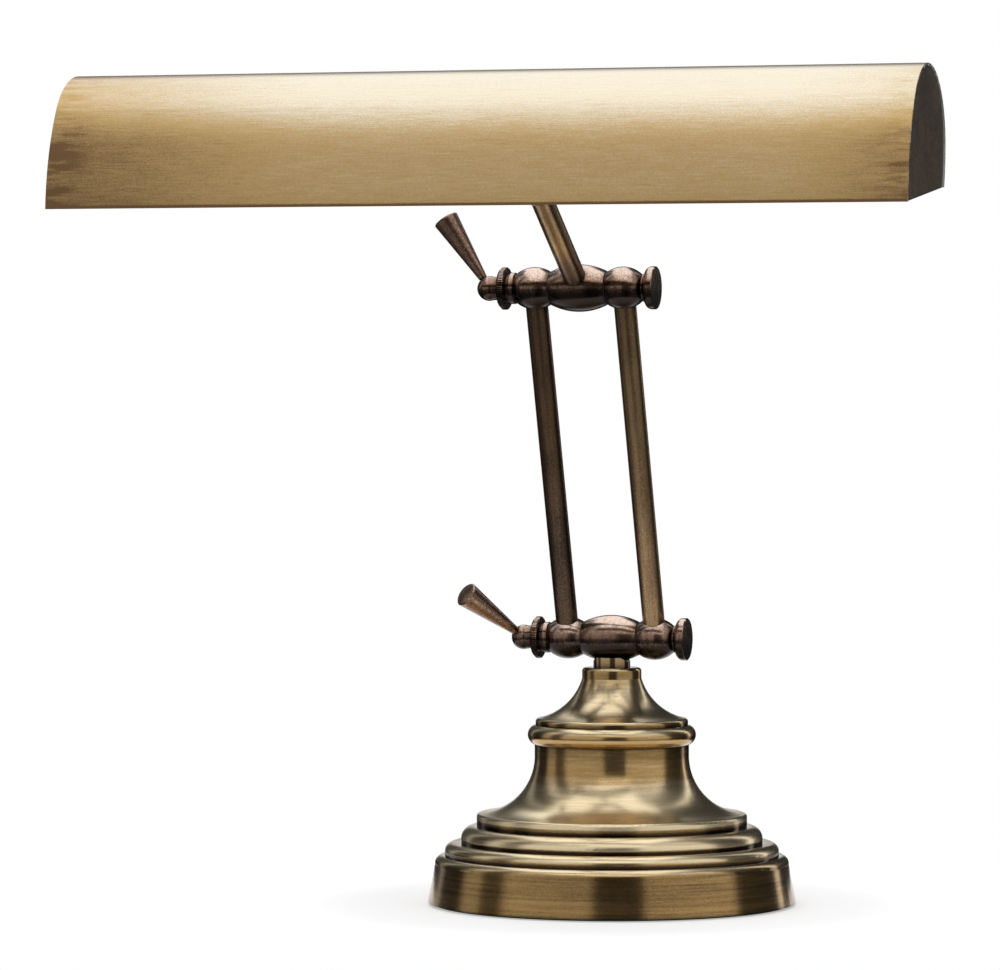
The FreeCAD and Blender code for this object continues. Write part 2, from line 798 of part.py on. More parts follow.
def make_barrel(label, frame):
    """Middle barrel of a joint, bored along the bar for the clamp rod."""
    body = new_body(label, frame)
    half = S.barrel_half_length
    end_radius = S.barrel_end_diameter / 2.0
    swell = bow((-half, end_radius), (half, end_radius), S.barrel_diameter / 2.0 - end_radius)
    revolve(body, [
        Corner(-half, bore_radius),
        Corner(half, bore_radius),
        Corner(half, end_radius, swell, 1),
        Corner(-half, end_radius),
    ])
    return body


def make_lower_barrel():
    body = make_barrel("lower_barrel", lower_joint)
    seat_top = S.stem_engagement + S.running_clearance - S.barrel_diameter / 2.0
    seat = new_sketch(body, "XY", lift=seat_top)
    draw_circle(seat, S.stem_diameter / 2.0 + S.running_clearance)
    pocket(body, seat, S.barrel_diameter, forward=False)


def make_upper_barrel():
    body = make_barrel("upper_barrel", upper_arm)
    seat = new_sketch(body, "XY", lift=S.upper_socket_floor)
    draw_circle(seat, S.tube_diameter / 2.0 + S.socket_clearance)
    pocket(body, seat, S.barrel_diameter)


def bore_arm_socket(body, side, upwards, height):
    """Round socket for an arm tube, from its floor out through the knuckle's wall."""
    direction = 1.0 if upwards else -1.0
    seat = new_sketch(body, "XY", lift=dim(height) + S.socket_floor * direction)
    draw_circle(seat, S.tube_diameter / 2.0 + S.socket_clearance, S.arm_half_spacing * side)
    pocket(body, seat, S.knuckle_diameter, forward=upwards)


def make_left_knuckle(label, frame, upwards):
    """Left knuckle of a joint: ovoid body, a groove and a turned ring at its outer end."""
    body = new_body(label, frame)
    inner = S.knuckle_inner_diameter / 2.0
    outer = S.knuckle_outer_diameter / 2.0
    ring_radius = S.ring_diameter / 2.0
    groove_radius = S.ring_groove_diameter / 2.0
    sagitta = S.knuckle_diameter / 2.0 - (inner + outer) / 2.0
    swell = bow((knuckle_start, inner), (knuckle_end, outer), sagitta)
    revolve(body, mirrored([
        Corner(knuckle_start, bore_radius),
        Corner(ring_end, bore_radius),
        Corner(ring_end, ring_radius - S.ring_edge),
        Corner(ring_end - S.ring_edge, ring_radius),
        Corner(ring_start + S.ring_edge, ring_radius),
        Corner(ring_start, ring_radius - S.ring_edge),
        Corner(ring_start, groove_radius),
        Corner(knuckle_end, groove_radius),
        Corner(knuckle_end, outer, swell, 1),
        Corner(knuckle_start, inner),
    ], -1))
    bore_arm_socket(body, -1.0, upwards, 0.0)


def make_right_knuckle(label, frame, upwards):
    """Right knuckle of a joint: ovoid body that narrows to the clamp bolt's head."""
    body = new_body(label, frame)
    inner = S.knuckle_inner_diameter / 2.0
    outer = S.right_knuckle_outer_diameter / 2.0
    sagitta = S.knuckle_diameter / 2.0 - (inner + outer) / 2.0
    swell = bow((knuckle_start, inner), (right_knuckle_end, outer), sagitta)
    revolve(body, [
        Corner(knuckle_start, bore_radius),
        Corner(right_knuckle_end, bore_radius),
        Corner(right_knuckle_end, outer, swell, 1),
        Corner(knuckle_start, inner),
    ])
    bore_arm_socket(body, 1.0, upwards, 0.0)


def make_clamp_bolt(label, frame):
    """Rod through the whole joint, with a bead and a round-backed disc as its head."""
    body = new_body(label, frame)
    bead = S.end_bead_diameter / 2.0
    neck = S.right_knuckle_outer_diameter / 2.0
    disc = S.end_disc_diameter / 2.0
    edge = S.end_disc_edge
    bead_round = bow((head_start, neck), (bead_end, neck), bead - neck)
    back = S.end_disc_back_diameter / 2.0
    back_round = bow((bead_end, back), (disc_back_end, disc), S.end_disc_back_sagitta)
    revolve(body, [
        Corner(-rod_end, 0.0),
        Corner(disc_end, 0.0),
        Corner(disc_end, disc - edge),
        Corner(disc_end - edge, disc),
        Corner(disc_back_end, disc, back_round, 1),
        Corner(bead_end, back),
        Corner(bead_end, neck, bead_round, 1),
        Corner(head_start, neck),
        Corner(head_start, rod_radius),
        Corner(-rod_end, rod_radius),
    ])


def make_friction_washers(label, frame):
    """A pair of thin fibre washers, one at each end of the barrel."""
    washers = []
    for side, place in (("left", -knuckle_start), ("right", washer_start)):
        washers.append(ring(f"{label}_{side}", frame, "YZ", S.knuckle_inner_diameter / 2.0,
                            bore_radius, place, S.friction_washer_thickness))
    group(label, washers)


def make_lock_washer(label, frame):
    ring(label, frame, "YZ", S.lock_washer_diameter / 2.0, bore_radius,
         -(lock_washer_start + S.lock_washer_thickness), S.lock_washer_thickness)


def make_knurled_nut(label, frame):
    """Round adjusting nut with straight knurling on its rim."""
    body = new_body(label, frame)
    radius = S.knurled_nut_diameter / 2.0
    bevel = S.knurled_nut_bevel
    edge = S.knurled_nut_edge
    revolve(body, mirrored([
        Corner(knurled_nut_start, bore_radius),
        Corner(knurled_nut_end, bore_radius),
        Corner(knurled_nut_end, radius - bevel),
        Corner(knurled_nut_end - bevel, radius),
        Corner(knurled_nut_start + edge, radius),
        Corner(knurled_nut_start, radius - edge),
    ], -1))
    cut = new_sketch(body, "YZ", lift=-(knurled_nut_end + S.face_gap))
    half = S.knurl_width / 2.0
    draw_outline(cut, [
        Corner(-half, radius + S.knurl_depth),
        Corner(0.0, radius - S.knurl_depth),
        Corner(half, radius + S.knurl_depth),
    ])
    tooth = pocket(body, cut, S.knurled_nut_width + S.face_gap * 2.0)
    repeat_about(body, tooth, "X", KNURL_COUNT)


# ---------------------------------------------------------------- clamp levers

def make_lever_hub(label, frame):
    """Ball hub that screws on the clamp rod, drilled for the handle's stud."""
    body = new_body(label, frame)
    ball = S.lever_ball_diameter / 2.0
    hub = S.lever_hub_diameter / 2.0
    meet = ball_centre - across(ball, hub)
    revolve(body, mirrored([
        Corner(hub_start, bore_radius),
        Corner(ball_centre, bore_radius),
        Corner(ball_centre, 0.0),
        Corner(ball_centre + ball, 0.0, ball, 1),
        Corner(meet, hub),
        Corner(hub_start, hub),
    ], -1))
    hole = S.lever_stud_diameter / 2.0 + S.socket_clearance
    bottom = ball - S.lever_stud_depth - S.socket_clearance
    groove(body, [
        Corner(0.0, bottom),
        Corner(hole, bottom),
        Corner(hole, ball * 2.0),
        Corner(0.0, ball * 2.0),
    ], axis="V_Axis", spin=S.lever_splay_angle, slide=-ball_centre)


def make_lever_handle(label, frame):
    """Tapered handle with a slightly domed end, on a stud that enters the ball."""
    body = new_body(label, frame)
    ball = S.lever_ball_diameter / 2.0
    thin = S.lever_thin_diameter / 2.0
    thick = S.lever_thick_diameter / 2.0
    edge = S.lever_end_edge
    stud_radius = S.lever_stud_diameter / 2.0
    dome_foot = S.lever_length - S.lever_end_dome
    dome = bow((thick - edge, dome_foot), (-(thick - edge), dome_foot), S.lever_end_dome)
    revolve(body, [
        Corner(0.0, ball - S.lever_stud_depth),
        Corner(stud_radius, ball - S.lever_stud_depth),
        Corner(stud_radius, ball),
        Corner(thin, ball),
        Corner(thick, dome_foot - edge),
        Corner(thick - edge, dome_foot, dome, 1),
        Corner(0.0, S.lever_length),
    ], axis="V_Axis", spin=S.lever_splay_angle, slide=-ball_centre)


def make_lever(name, frame):
    make_lever_hub(name + "_lever_hub", frame)
    make_lever_handle(name + "_lever_handle", frame)


# ---------------------------------------------------------------- arms

def make_arm_tube(label, side):
    outer = S.tube_diameter / 2.0
    ring(label, arms, "XY", outer, outer - S.tube_wall, S.socket_floor,
         S.arm_length - S.socket_floor * 2.0, S.arm_half_spacing * side)


def make_upper_arm():
    outer = S.tube_diameter / 2.0
    socket_start = S.upper_arm_reach - S.swivel_slot_depth - S.swivel_socket_length
    tube_end = socket_start + S.swivel_socket_depth
    ring("upper_arm_tube", upper_arm, "XY", outer, outer - S.tube_wall,
         S.upper_socket_floor, tube_end - S.upper_socket_floor)


# ---------------------------------------------------------------- shade swivel

def make_swivel_fork():
    """Fork on the upper arm: a round socket for the tube and two squared ears with round tips."""
    body = new_body("swivel_fork", upper_arm)
    radius = S.swivel_radius
    reach = S.upper_arm_reach
    far = radius * 2.0
    slot_floor = reach - S.swivel_slot_depth
    socket_start = slot_floor - S.swivel_socket_length
    column = new_sketch(body, "XY", lift=socket_start)
    draw_circle(column, S.swivel_collar_diameter / 2.0)
    pad(body, column, reach + radius - socket_start)
    flats = new_sketch(body, "XY", lift=slot_floor)
    draw_outline(flats, box_outline(-far, far, -far, far))
    draw_outline(flats, box_outline(-radius, radius, -radius, radius))
    pocket(body, flats, far)
    tips = new_sketch(body, "YZ")
    draw_outline(tips, [
        Corner(radius, reach, radius, 1),
        Corner(0.0, reach + radius, radius, 1),
        Corner(-radius, reach),
        Corner(-far, reach),
        Corner(-far, reach + far),
        Corner(far, reach + far),
        Corner(far, reach),
    ])
    pocket(body, tips, far * 2.0, both_ways=True)
    slot = new_sketch(body, "YZ")
    draw_outline(slot, box_outline(-far, far, slot_floor, reach + far))
    pocket(body, slot, S.swivel_slot, both_ways=True)
    hole = new_sketch(body, "YZ")
    draw_circle(hole, S.swivel_screw_diameter / 2.0 + S.running_clearance, 0.0, reach)
    pocket(body, hole, far * 2.0, both_ways=True)
    socket = new_sketch(body, "XY", lift=socket_start)
    draw_circle(socket, S.tube_diameter / 2.0 + S.socket_clearance)
    pocket(body, socket, S.swivel_socket_depth + S.socket_clearance)


def make_swivel_screw():
    """Slotted screw through the fork and the eye, with a hexagon nut on its far end."""
    ear = S.swivel_radius + S.running_clearance
    shank = S.swivel_screw_diameter / 2.0
    head = S.swivel_head_diameter / 2.0
    nut_end = ear + S.swivel_nut_thickness
    frame = upper_arm_tip
    screw = new_body("swivel_screw", frame)
    dome = bow((ear + S.swivel_head_height / 2.0, head), (ear + S.swivel_head_height, 0.0),
               head * QUARTER_SAGITTA / 3.0)
    revolve(screw, [
        Corner(-(nut_end + S.face_gap), 0.0),
        Corner(ear + S.swivel_head_height, 0.0, dome, 1),
        Corner(ear + S.swivel_head_height / 2.0, head),
        Corner(ear, head),
        Corner(ear, shank),
        Corner(-(nut_end + S.face_gap), shank),
    ])
    slot = new_sketch(screw, "YZ", lift=ear + S.swivel_head_height / 2.0)
    half = S.swivel_screw_slot / 2.0
    draw_outline(slot, box_outline(-head * 2.0, head * 2.0, -half, half))
    pocket(screw, slot, S.swivel_head_height)
    nut = new_body("swivel_nut", frame)
    sketch = new_sketch(nut, "YZ", lift=-nut_end)
    draw_outline(sketch, hexagon(S.swivel_nut_flats))
    draw_circle(sketch, shank + S.running_clearance)
    pad(nut, sketch, S.swivel_nut_thickness)


def make_swivel_eye():
    """Eye between the fork's ears, with a flange and a hollow stud for the shade's back."""
    body = new_body("swivel_eye", stud)
    radius = S.swivel_radius
    neck = S.swivel_neck_diameter / 2.0
    neck_start = radius + S.swivel_neck_gap
    flange_end = S.swivel_standoff - S.running_clearance
    flange_start = flange_end - S.swivel_flange_thickness
    eye = new_sketch(body, "YZ")
    draw_circle(eye, radius)
    pad(body, eye, S.swivel_eye_thickness, both_ways=True)
    web = new_sketch(body, "YZ")
    draw_outline(web, box_outline(-(neck_start + S.swivel_neck_gap), 0.0, -neck, neck))
    pad(body, web, S.swivel_eye_thickness, both_ways=True)
    for radius_here, start, end in (
            (neck, neck_start, flange_start),
            (S.swivel_flange_diameter / 2.0, flange_start, flange_end),
            (S.stud_diameter / 2.0, flange_end, flange_end + S.stud_length)):
        turned = new_sketch(body, "XZ", lift=start)
        draw_circle(turned, radius_here)
        pad(body, turned, end - start)
    hole = new_sketch(body, "YZ")
    draw_circle(hole, S.swivel_screw_diameter / 2.0 + S.running_clearance)
    pocket(body, hole, S.swivel_eye_thickness * 2.0, both_ways=True)
    wire_way = new_sketch(body, "XZ", lift=flange_start)
    draw_circle(wire_way, S.stud_bore / 2.0)
    pocket(body, wire_way, S.swivel_flange_thickness + S.stud_length + S.face_gap)


# ---------------------------------------------------------------- shade

def shade_corners(inset, foot):
    """Corners of the shade's arch, inset from its outside, from front foot to back foot."""
    front = S.shade_front_radius - inset
    top = S.shade_top_radius - inset
    back = S.shade_back_radius - inset
    front_y = front_centre_y - across(front, dim(foot) - front_centre_z)
    back_y = back_centre_y + across(back, dim(foot) - back_centre_z)
    crown_y = S.shade_crown_offset
    crown_z = S.shade_crown_height
    return [
        Corner(front_y, foot, front, -1),
        Corner(crown_y - top * cosine(S.shade_front_tangent_angle),
               crown_z + top * sine(S.shade_front_tangent_angle), top, -1),
        Corner(crown_y + top * cosine(S.shade_back_tangent_angle),
               crown_z - top * sine(S.shade_back_tangent_angle), back, -1),
        Corner(back_y, foot),
    ]


def arch_band(outer_inset, inner_inset, foot):
    """Closed outline of a sheet bent to the shade's arch."""
    inside = reversed_path(shade_corners(inner_inset, foot))
    return shade_corners(outer_inset, foot) + inside


def cut_square_to_back(body, radius, along, x):
    """Round hole through the shade's back, square to it, opposite the swivel's pivot."""
    sketch = new_sketch(body, "XZ", lift=-pivot_y, rise=pivot_z, tip=S.swivel_drop_angle)
    draw_circle(sketch, radius, x)
    pocket(body, sketch, along)


def make_shade_shell():
    """Rolled sheet arch with inward lips along both lower edges, pierced for stud and switch."""
    body = new_body("shade_shell", shade)
    wall = S.shade_wall
    arch = new_sketch(body, "YZ")
    draw_outline(arch, arch_band(dim(0.0), wall, 0.0))
    pad(body, arch, S.shade_length, both_ways=True)
    lip_length = S.shade_length - (S.end_cap_recess + S.end_cap_depth + S.end_cap_fit) * 2.0
    feet = shade_corners(wall / 2.0, 0.0)
    front = feet[0].x
    back = feet[-1].x
    for low, high in ((front, front + S.shade_lip), (back - S.shade_lip, back)):
        lip = new_sketch(body, "YZ")
        draw_outline(lip, box_outline(low, high, 0.0, wall))
        pad(body, lip, lip_length, both_ways=True)
    reach = S.swivel_standoff + S.stud_length
    cut_square_to_back(body, S.stud_diameter / 2.0 + S.switch_hole_clearance, reach, 0.0)
    cut_square_to_back(body, S.switch_bushing_diameter / 2.0 + S.switch_hole_clearance,
                       reach, S.switch_offset)


def make_end_cap(label, side):
    """Shallow pan that closes one end of the shade, a little inside its edge."""
    body = new_body(label, shade)
    outside = S.shade_length / 2.0 - S.end_cap_recess
    inset = S.shade_wall + S.end_cap_fit
    start = outside - S.end_cap_depth if side > 0 else -outside
    plate = new_sketch(body, "YZ", lift=start)
    draw_outline(plate, shade_corners(inset, 0.0))
    pad(body, plate, S.end_cap_depth)
    hollow_start = start if side > 0 else start + S.end_cap_thickness
    hollow = new_sketch(body, "YZ", lift=hollow_start)
    draw_outline(hollow, shade_corners(inset + S.end_cap_thickness, S.end_cap_thickness))
    pocket(body, hollow, S.end_cap_depth - S.end_cap_thickness)


# ---------------------------------------------------------------- bracket and lampholders

def make_socket_bracket():
    """Bent strap behind the shade's back: a web on the stud and two ears for the holders."""
    body = new_body("socket_bracket", stud)
    half_height = S.bracket_height / 2.0
    inner_radius = S.shade_back_radius - S.shade_wall
    hollow = half_height * half_height / (inner_radius * 2.0)
    web_start = S.swivel_standoff + S.shade_wall + hollow + S.running_clearance
    web = new_sketch(body, "XZ", lift=web_start)
    width = S.bracket_half_width
    draw_outline(web, box_outline(-width, width, -half_height, half_height))
    draw_circle(web, S.stud_diameter / 2.0 + S.switch_hole_clearance)
    pad(body, web, S.bracket_thickness)
    margin = S.bracket_ear_margin
    for start in (-width, width - S.bracket_thickness):
        ear = new_sketch(body, "YZ", lift=start)
        draw_outline(ear, [
            Corner(-web_start, -half_height),
            Corner(-web_start, half_height),
            Corner(lamp_stud_y + margin, lamp_stud_z + margin),
            Corner(lamp_stud_y, lamp_stud_z + margin, margin, 1),
            Corner(lamp_stud_y - margin, lamp_stud_z, margin, 1),
            Corner(lamp_stud_y, lamp_stud_z - margin),
        ])
        draw_circle(ear, S.holder_screw_diameter / 2.0 + S.switch_hole_clearance,
                    lamp_stud_y, lamp_stud_z)
        pad(body, ear, S.bracket_thickness)
    return web_start


def make_stud_hardware(web_start):
    """Washer and nut that clamp the bracket and the shade against the swivel's flange."""
    washer_start_y = web_start + S.bracket_thickness
    nut_start = washer_start_y + S.stud_washer_thickness
    hole = S.stud_diameter / 2.0 + S.running_clearance
    ring("stud_washer", stud, "XZ", S.stud_washer_diameter / 2.0, hole,
         washer_start_y, S.stud_washer_thickness)
    nut = new_body("stud_nut", stud)
    sketch = new_sketch(nut, "XZ", lift=nut_start)
    draw_outline(sketch, hexagon(S.stud_nut_flats))
    draw_circle(sketch, hole)
    pad(nut, sketch, S.stud_nut_thickness)


# stations along the lamp axis, measured outwards from the bracket
holder_back = S.bracket_half_width + S.running_clearance
holder_front = holder_back + S.holder_length
holder_floor = holder_back + S.holder_floor
contact_top = holder_floor + S.contact_height
shell_start = contact_top + S.running_clearance
bulb_tip = contact_top + S.running_clearance
bulb_cap_front = bulb_tip + S.bulb_cap_length


def make_lampholder(label, side):
    """Porcelain holder with a narrow back, a round shoulder and a deep cup."""
    body = new_body(label, lamp_axis)
    outer = S.holder_diameter / 2.0
    back = S.holder_back_diameter / 2.0
    bore = S.holder_bore / 2.0
    screw = S.holder_screw_diameter / 2.0 + S.running_clearance
    screw_floor = holder_back + S.holder_screw_depth
    shoulder = holder_back + S.holder_neck_length
    shoulder_end = shoulder + S.holder_shoulder_length
    round_off = bow((shoulder, back), (shoulder_end, outer), S.holder_shoulder_length / 8.0)
    revolve(body, mirrored([
        Corner(screw_floor, 0.0),
        Corner(holder_floor, 0.0),
        Corner(holder_floor, bore),
        Corner(holder_front, bore),
        Corner(holder_front, outer - S.knob_edge),
        Corner(holder_front - S.knob_edge, outer),
        Corner(shoulder_end, outer, round_off, 1),
        Corner(shoulder, back),
        Corner(holder_back, back),
        Corner(holder_back, screw),
        Corner(screw_floor, screw),
    ], side))


def make_holder_metal(prefix, side):
    """Brass centre contact and screw shell inside a holder."""
    contact = new_body(prefix + "_centre_contact", lamp_axis)
    radius = S.contact_diameter / 2.0
    revolve(contact, mirrored([
        Corner(holder_floor, 0.0),
        Corner(contact_top, 0.0),
        Corner(contact_top, radius / 2.0),
        Corner(holder_floor + S.contact_height / 2.0, radius / 2.0),
        Corner(holder_floor + S.contact_height / 2.0, radius),
        Corner(holder_floor, radius),
    ], side))
    shell = new_body(prefix + "_screw_shell", lamp_axis)
    outer = S.shell_diameter / 2.0
    revolve(shell, mirrored([
        Corner(shell_start, outer - S.shell_wall),
        Corner(shell_start + S.shell_length, outer - S.shell_wall),
        Corner(shell_start + S.shell_length, outer),
        Corner(shell_start, outer),
    ], side))


def make_bulb(prefix, side):
    """Tubular bulb: brass cap, glass envelope and the filament on its stem."""
    cap = new_body(prefix + "_bulb_cap", lamp_axis)
    outer = S.bulb_cap_diameter / 2.0
    inner = outer - S.bulb_cap_wall
    tip = outer / 4.0
    slope = outer / 3.0
    revolve(cap, mirrored([
        Corner(bulb_tip + S.bulb_cap_wall, 0.0),
        Corner(bulb_tip + S.bulb_cap_wall + slope, inner),
        Corner(bulb_cap_front, inner),
        Corner(bulb_cap_front, outer),
        Corner(bulb_tip + slope, outer),
        Corner(bulb_tip, tip),
        Corner(bulb_tip, 0.0),
    ], side))
    glass = new_body(prefix + "_bulb_glass", lamp_axis)
    radius = S.bulb_diameter / 2.0
    neck = S.bulb_neck_diameter / 2.0
    wall = S.bulb_glass
    neck_start = bulb_tip + slope + S.bulb_cap_wall
    shoulder_end = bulb_cap_front + S.bulb_shoulder_length
    dome_tip = bulb_tip + S.bulb_length
    dome_start = dome_tip - S.bulb_dome_length
    dome = cap_radius(radius, S.bulb_dome_length)
    dome_inside = cap_radius(radius - wall, S.bulb_dome_length - wall)
    revolve(glass, mirrored([
        Corner(dome_tip - wall, 0.0),
        Corner(dome_tip, 0.0, dome, 1),
        Corner(dome_start, radius),
        Corner(shoulder_end, radius),
        Corner(bulb_cap_front, neck),
        Corner(neck_start, neck),
        Corner(neck_start, neck - wall),
        Corner(bulb_cap_front, neck - wall),
        Corner(shoulder_end, radius - wall),
        Corner(dome_start, radius - wall, dome_inside, -1),
    ], side))
    make_filament(prefix + "_filament", side, neck_start, neck - wall - S.running_clearance)


def make_filament(label, side, foot, foot_radius):
    """Glass stem with two lead wires and the filament that bridges their ends."""
    body = new_body(label, lamp_axis)
    stem = S.filament_spread + S.filament_wire
    stem_end = bulb_cap_front + S.bulb_shoulder_length
    revolve(body, mirrored([
        Corner(foot, 0.0),
        Corner(stem_end, 0.0),
        Corner(stem_end, stem),
        Corner(foot + S.bulb_cap_wall * 2.0, stem),
        Corner(foot + S.bulb_cap_wall, foot_radius),
        Corner(foot, foot_radius),
    ], side))
    wire = S.filament_wire / 2.0
    length = S.filament_length
    start = stem_end if side > 0 else -(stem_end + length)
    for direction in (-1.0, 1.0):
        lead = new_sketch(body, "YZ", lift=start)
        draw_circle(lead, wire, 0.0, S.filament_spread * direction)
        pad(body, lead, length)
    bridge_at = (stem_end + length) * side
    bridge = new_sketch(body, "XY", lift=-S.filament_spread)
    draw_circle(bridge, wire, bridge_at)
    pad(body, bridge, S.filament_spread * 2.0)


def make_holder_screws():
    """Two screws that fix the holders to the bracket's ears from between them."""
    screws = []
    shank = S.holder_screw_diameter / 2.0
    head = S.holder_screw_head / 2.0
    seat = S.bracket_half_width - S.bracket_thickness - S.running_clearance
    screw_end = holder_back + S.holder_screw_depth - S.running_clearance
    for name, side in (("left", -1), ("right", 1)):
        body = new_body("holder_screw_" + name, lamp_axis)
        revolve(body, mirrored([
            Corner(seat - S.holder_screw_head_height, 0.0),
            Corner(screw_end, 0.0),
            Corner(screw_end, shank),
            Corner(seat, shank),
            Corner(seat, head),
            Corner(seat - S.holder_screw_head_height, head),
        ], side))
        screws.append(body)
    group("holder_screws", screws)


# ---------------------------------------------------------------- rotary switch

def make_switch():
    """Switch body inside the shade's back, with a bushing through it, a ring nut and a knob."""
    half_width = S.switch_width / 2.0
    half_height = S.switch_height / 2.0
    inner_radius = S.shade_back_radius - S.shade_wall
    hollow = half_height * half_height / (inner_radius * 2.0)
    face = S.swivel_standoff + S.shade_wall + hollow + S.switch_seat
    bushing = S.switch_bushing_diameter / 2.0
    bore = S.switch_shaft_diameter / 2.0 + S.running_clearance
    nut_inner = S.swivel_standoff - S.running_clearance
    nut_outer = nut_inner - S.switch_nut_thickness
    x = S.switch_offset
    body = new_body("switch_body", stud)
    case = new_sketch(body, "XZ", lift=face)
    draw_outline(case, box_outline(x - half_width, x + half_width, -half_height, half_height))
    pad(body, case, S.switch_depth)
    tube = new_sketch(body, "XZ", lift=nut_outer)
    draw_circle(tube, bushing, x)
    pad(body, tube, face - nut_outer)
    shaft_way = new_sketch(body, "XZ", lift=nut_outer)
    draw_circle(shaft_way, bore, x)
    pocket(body, shaft_way, face - nut_outer + S.switch_depth / 2.0)
    ring("switch_ring_nut", stud, "XZ", S.switch_nut_diameter / 2.0,
         bushing + S.running_clearance, nut_outer, S.switch_nut_thickness, x)
    make_switch_knob(x, nut_outer, face + S.switch_depth / 2.0 - S.face_gap)


def make_switch_knob(x, nut_outer, shaft_end):
    """Fluted knob and its shaft, which turns in the switch's bushing."""
    knob_inner = nut_outer - S.knob_gap
    knob_outer = knob_inner - S.knob_length
    radius = S.knob_diameter / 2.0
    shaft = S.switch_shaft_diameter / 2.0
    edge = S.knob_edge
    knob = Frame(stud.y, stud.z, stud.turn)
    body = new_body("switch_knob", knob)
    body.setExpression("Placement.Base.x", x.text)
    revolve_about_stud(body, [
        Corner(0.0, -shaft_end),
        Corner(shaft, -shaft_end),
        Corner(shaft, -knob_inner),
        Corner(radius, -knob_inner),
        Corner(radius, -(knob_outer + edge)),
        Corner(radius - edge, -knob_outer),
        Corner(0.0, -knob_outer),
    ])
    flute = new_sketch(body, "XZ", lift=knob_outer - S.face_gap)
    draw_circle(flute, S.knob_flute / 2.0, 0.0, radius + S.knob_flute / 8.0)
    cut = pocket(body, flute, S.knob_length + S.face_gap - S.knob_gap)
    repeat_about(body, cut, "Y", KNOB_FLUTE_COUNT)


def revolve_about_stud(body, corners):
    """Turn an outline in the XY plane about Y, the way the stud points."""
    sketch = new_sketch(body, "XY")
    draw_outline(sketch, corners)
    feature = add_feature(body, "Revolution", sketch)
    feature.ReferenceAxis = (sketch, ["V_Axis"])
    feature.Angle = FULL_TURN
    finish(body, feature, sketch, adds=True)


# ---------------------------------------------------------------- assembly

def make_base():
    make_felt_pad()
    make_base_weight()
    make_base_skirt()
    make_base_cap()
    make_stem()
    make_cord_inlet()


def make_joint(name, knuckle_frame, bolt_frame, upwards):
    """Everything of one friction joint except its barrel and its lever."""
    make_left_knuckle(name + "_left_knuckle", knuckle_frame, upwards)
    make_right_knuckle(name + "_right_knuckle", knuckle_frame, upwards)
    make_clamp_bolt(name + "_clamp_bolt", bolt_frame)
    make_friction_washers(name + "_friction_washers", bolt_frame)
    make_lock_washer(name + "_lock_washer", bolt_frame)
    make_knurled_nut(name + "_knurled_nut", bolt_frame)


def make_lamp():
    make_base()
    make_lower_barrel()
    make_joint("lower", arms, arms, upwards=True)
    make_lever("lower", lower_joint.turned(S.lower_lever_turn_angle))
    make_arm_tube("left_arm_tube", -1.0)
    make_arm_tube("right_arm_tube", 1.0)
    make_upper_barrel()
    make_joint("upper", arm_top, arm_top, upwards=False)
    make_lever("upper", upper_joint.turned(S.upper_lever_turn_angle))
    make_upper_arm()
    make_swivel_fork()
    make_swivel_screw()
    make_swivel_eye()
    make_shade_shell()
    make_end_cap("left_end_cap", -1)
    make_end_cap("right_end_cap", 1)
    make_stud_hardware(make_socket_bracket())
    make_holder_screws()
    for prefix, side in (("left", -1), ("right", 1)):
        make_lampholder(prefix + "_lampholder", side)
        make_holder_metal(prefix, side)
        make_bulb(prefix, side)
    make_switch()


def check_and_write():
    """See that every object recomputed and every solid is sound, then write the STEP files."""
    doc.recompute()
    for item in doc.Objects:
        if "Invalid" in item.State or "Error" in item.State:
            raise RuntimeError(f"{item.Label} did not recompute: {item.State}")
    for node in nodes:
        if node.Shape.isNull() or not node.Shape.isValid():
            raise RuntimeError(f"{node.Label} has no sound shape")
    os.makedirs("parts", exist_ok=True)
    for node in nodes:
        node.Shape.exportStep(os.path.join("parts", node.Label + ".step"))
    print(len(nodes), "nodes written")


make_lamp()
check_and_write()
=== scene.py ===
"""Piano lamp in antique brass: finishes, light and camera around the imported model. Metres,
with +Z up, +X along the shade to the viewer's right and -Y towards the player."""

import json
import math

import bpy
from mathutils import Euler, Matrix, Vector

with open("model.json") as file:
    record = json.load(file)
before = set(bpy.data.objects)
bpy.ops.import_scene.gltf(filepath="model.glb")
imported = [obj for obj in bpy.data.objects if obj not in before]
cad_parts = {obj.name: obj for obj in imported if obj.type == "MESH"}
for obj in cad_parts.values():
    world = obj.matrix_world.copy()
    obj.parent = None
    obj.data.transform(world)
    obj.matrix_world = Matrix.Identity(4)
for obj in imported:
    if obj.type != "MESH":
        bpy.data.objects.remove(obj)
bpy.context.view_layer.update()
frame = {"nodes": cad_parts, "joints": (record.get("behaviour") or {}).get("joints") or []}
NODES = frame["nodes"]

# joint axes of the lamp
JOINTS = {joint["name"]: joint for joint in frame["joints"]}
LOWER_AXIS = Vector(JOINTS["lower_tilt"]["pos_m"])
UPPER_AXIS = Vector(JOINTS["upper_tilt"]["pos_m"])
PIVOT = Vector(JOINTS["shade_tilt"]["pos_m"])
# how far each part leans about X at rest
ARM_LEAN = math.radians(18.7)
UPPER_ARM_LEAN = math.radians(57.4)
SHADE_TILT = math.radians(6.5)
# middle of the shade's mouth from the pivot, forward and up in the shade's own frame
SHADE_MIDDLE = -0.0506
SHADE_FLOOR = -0.002


# ---------------------------------------------------------------- node helpers

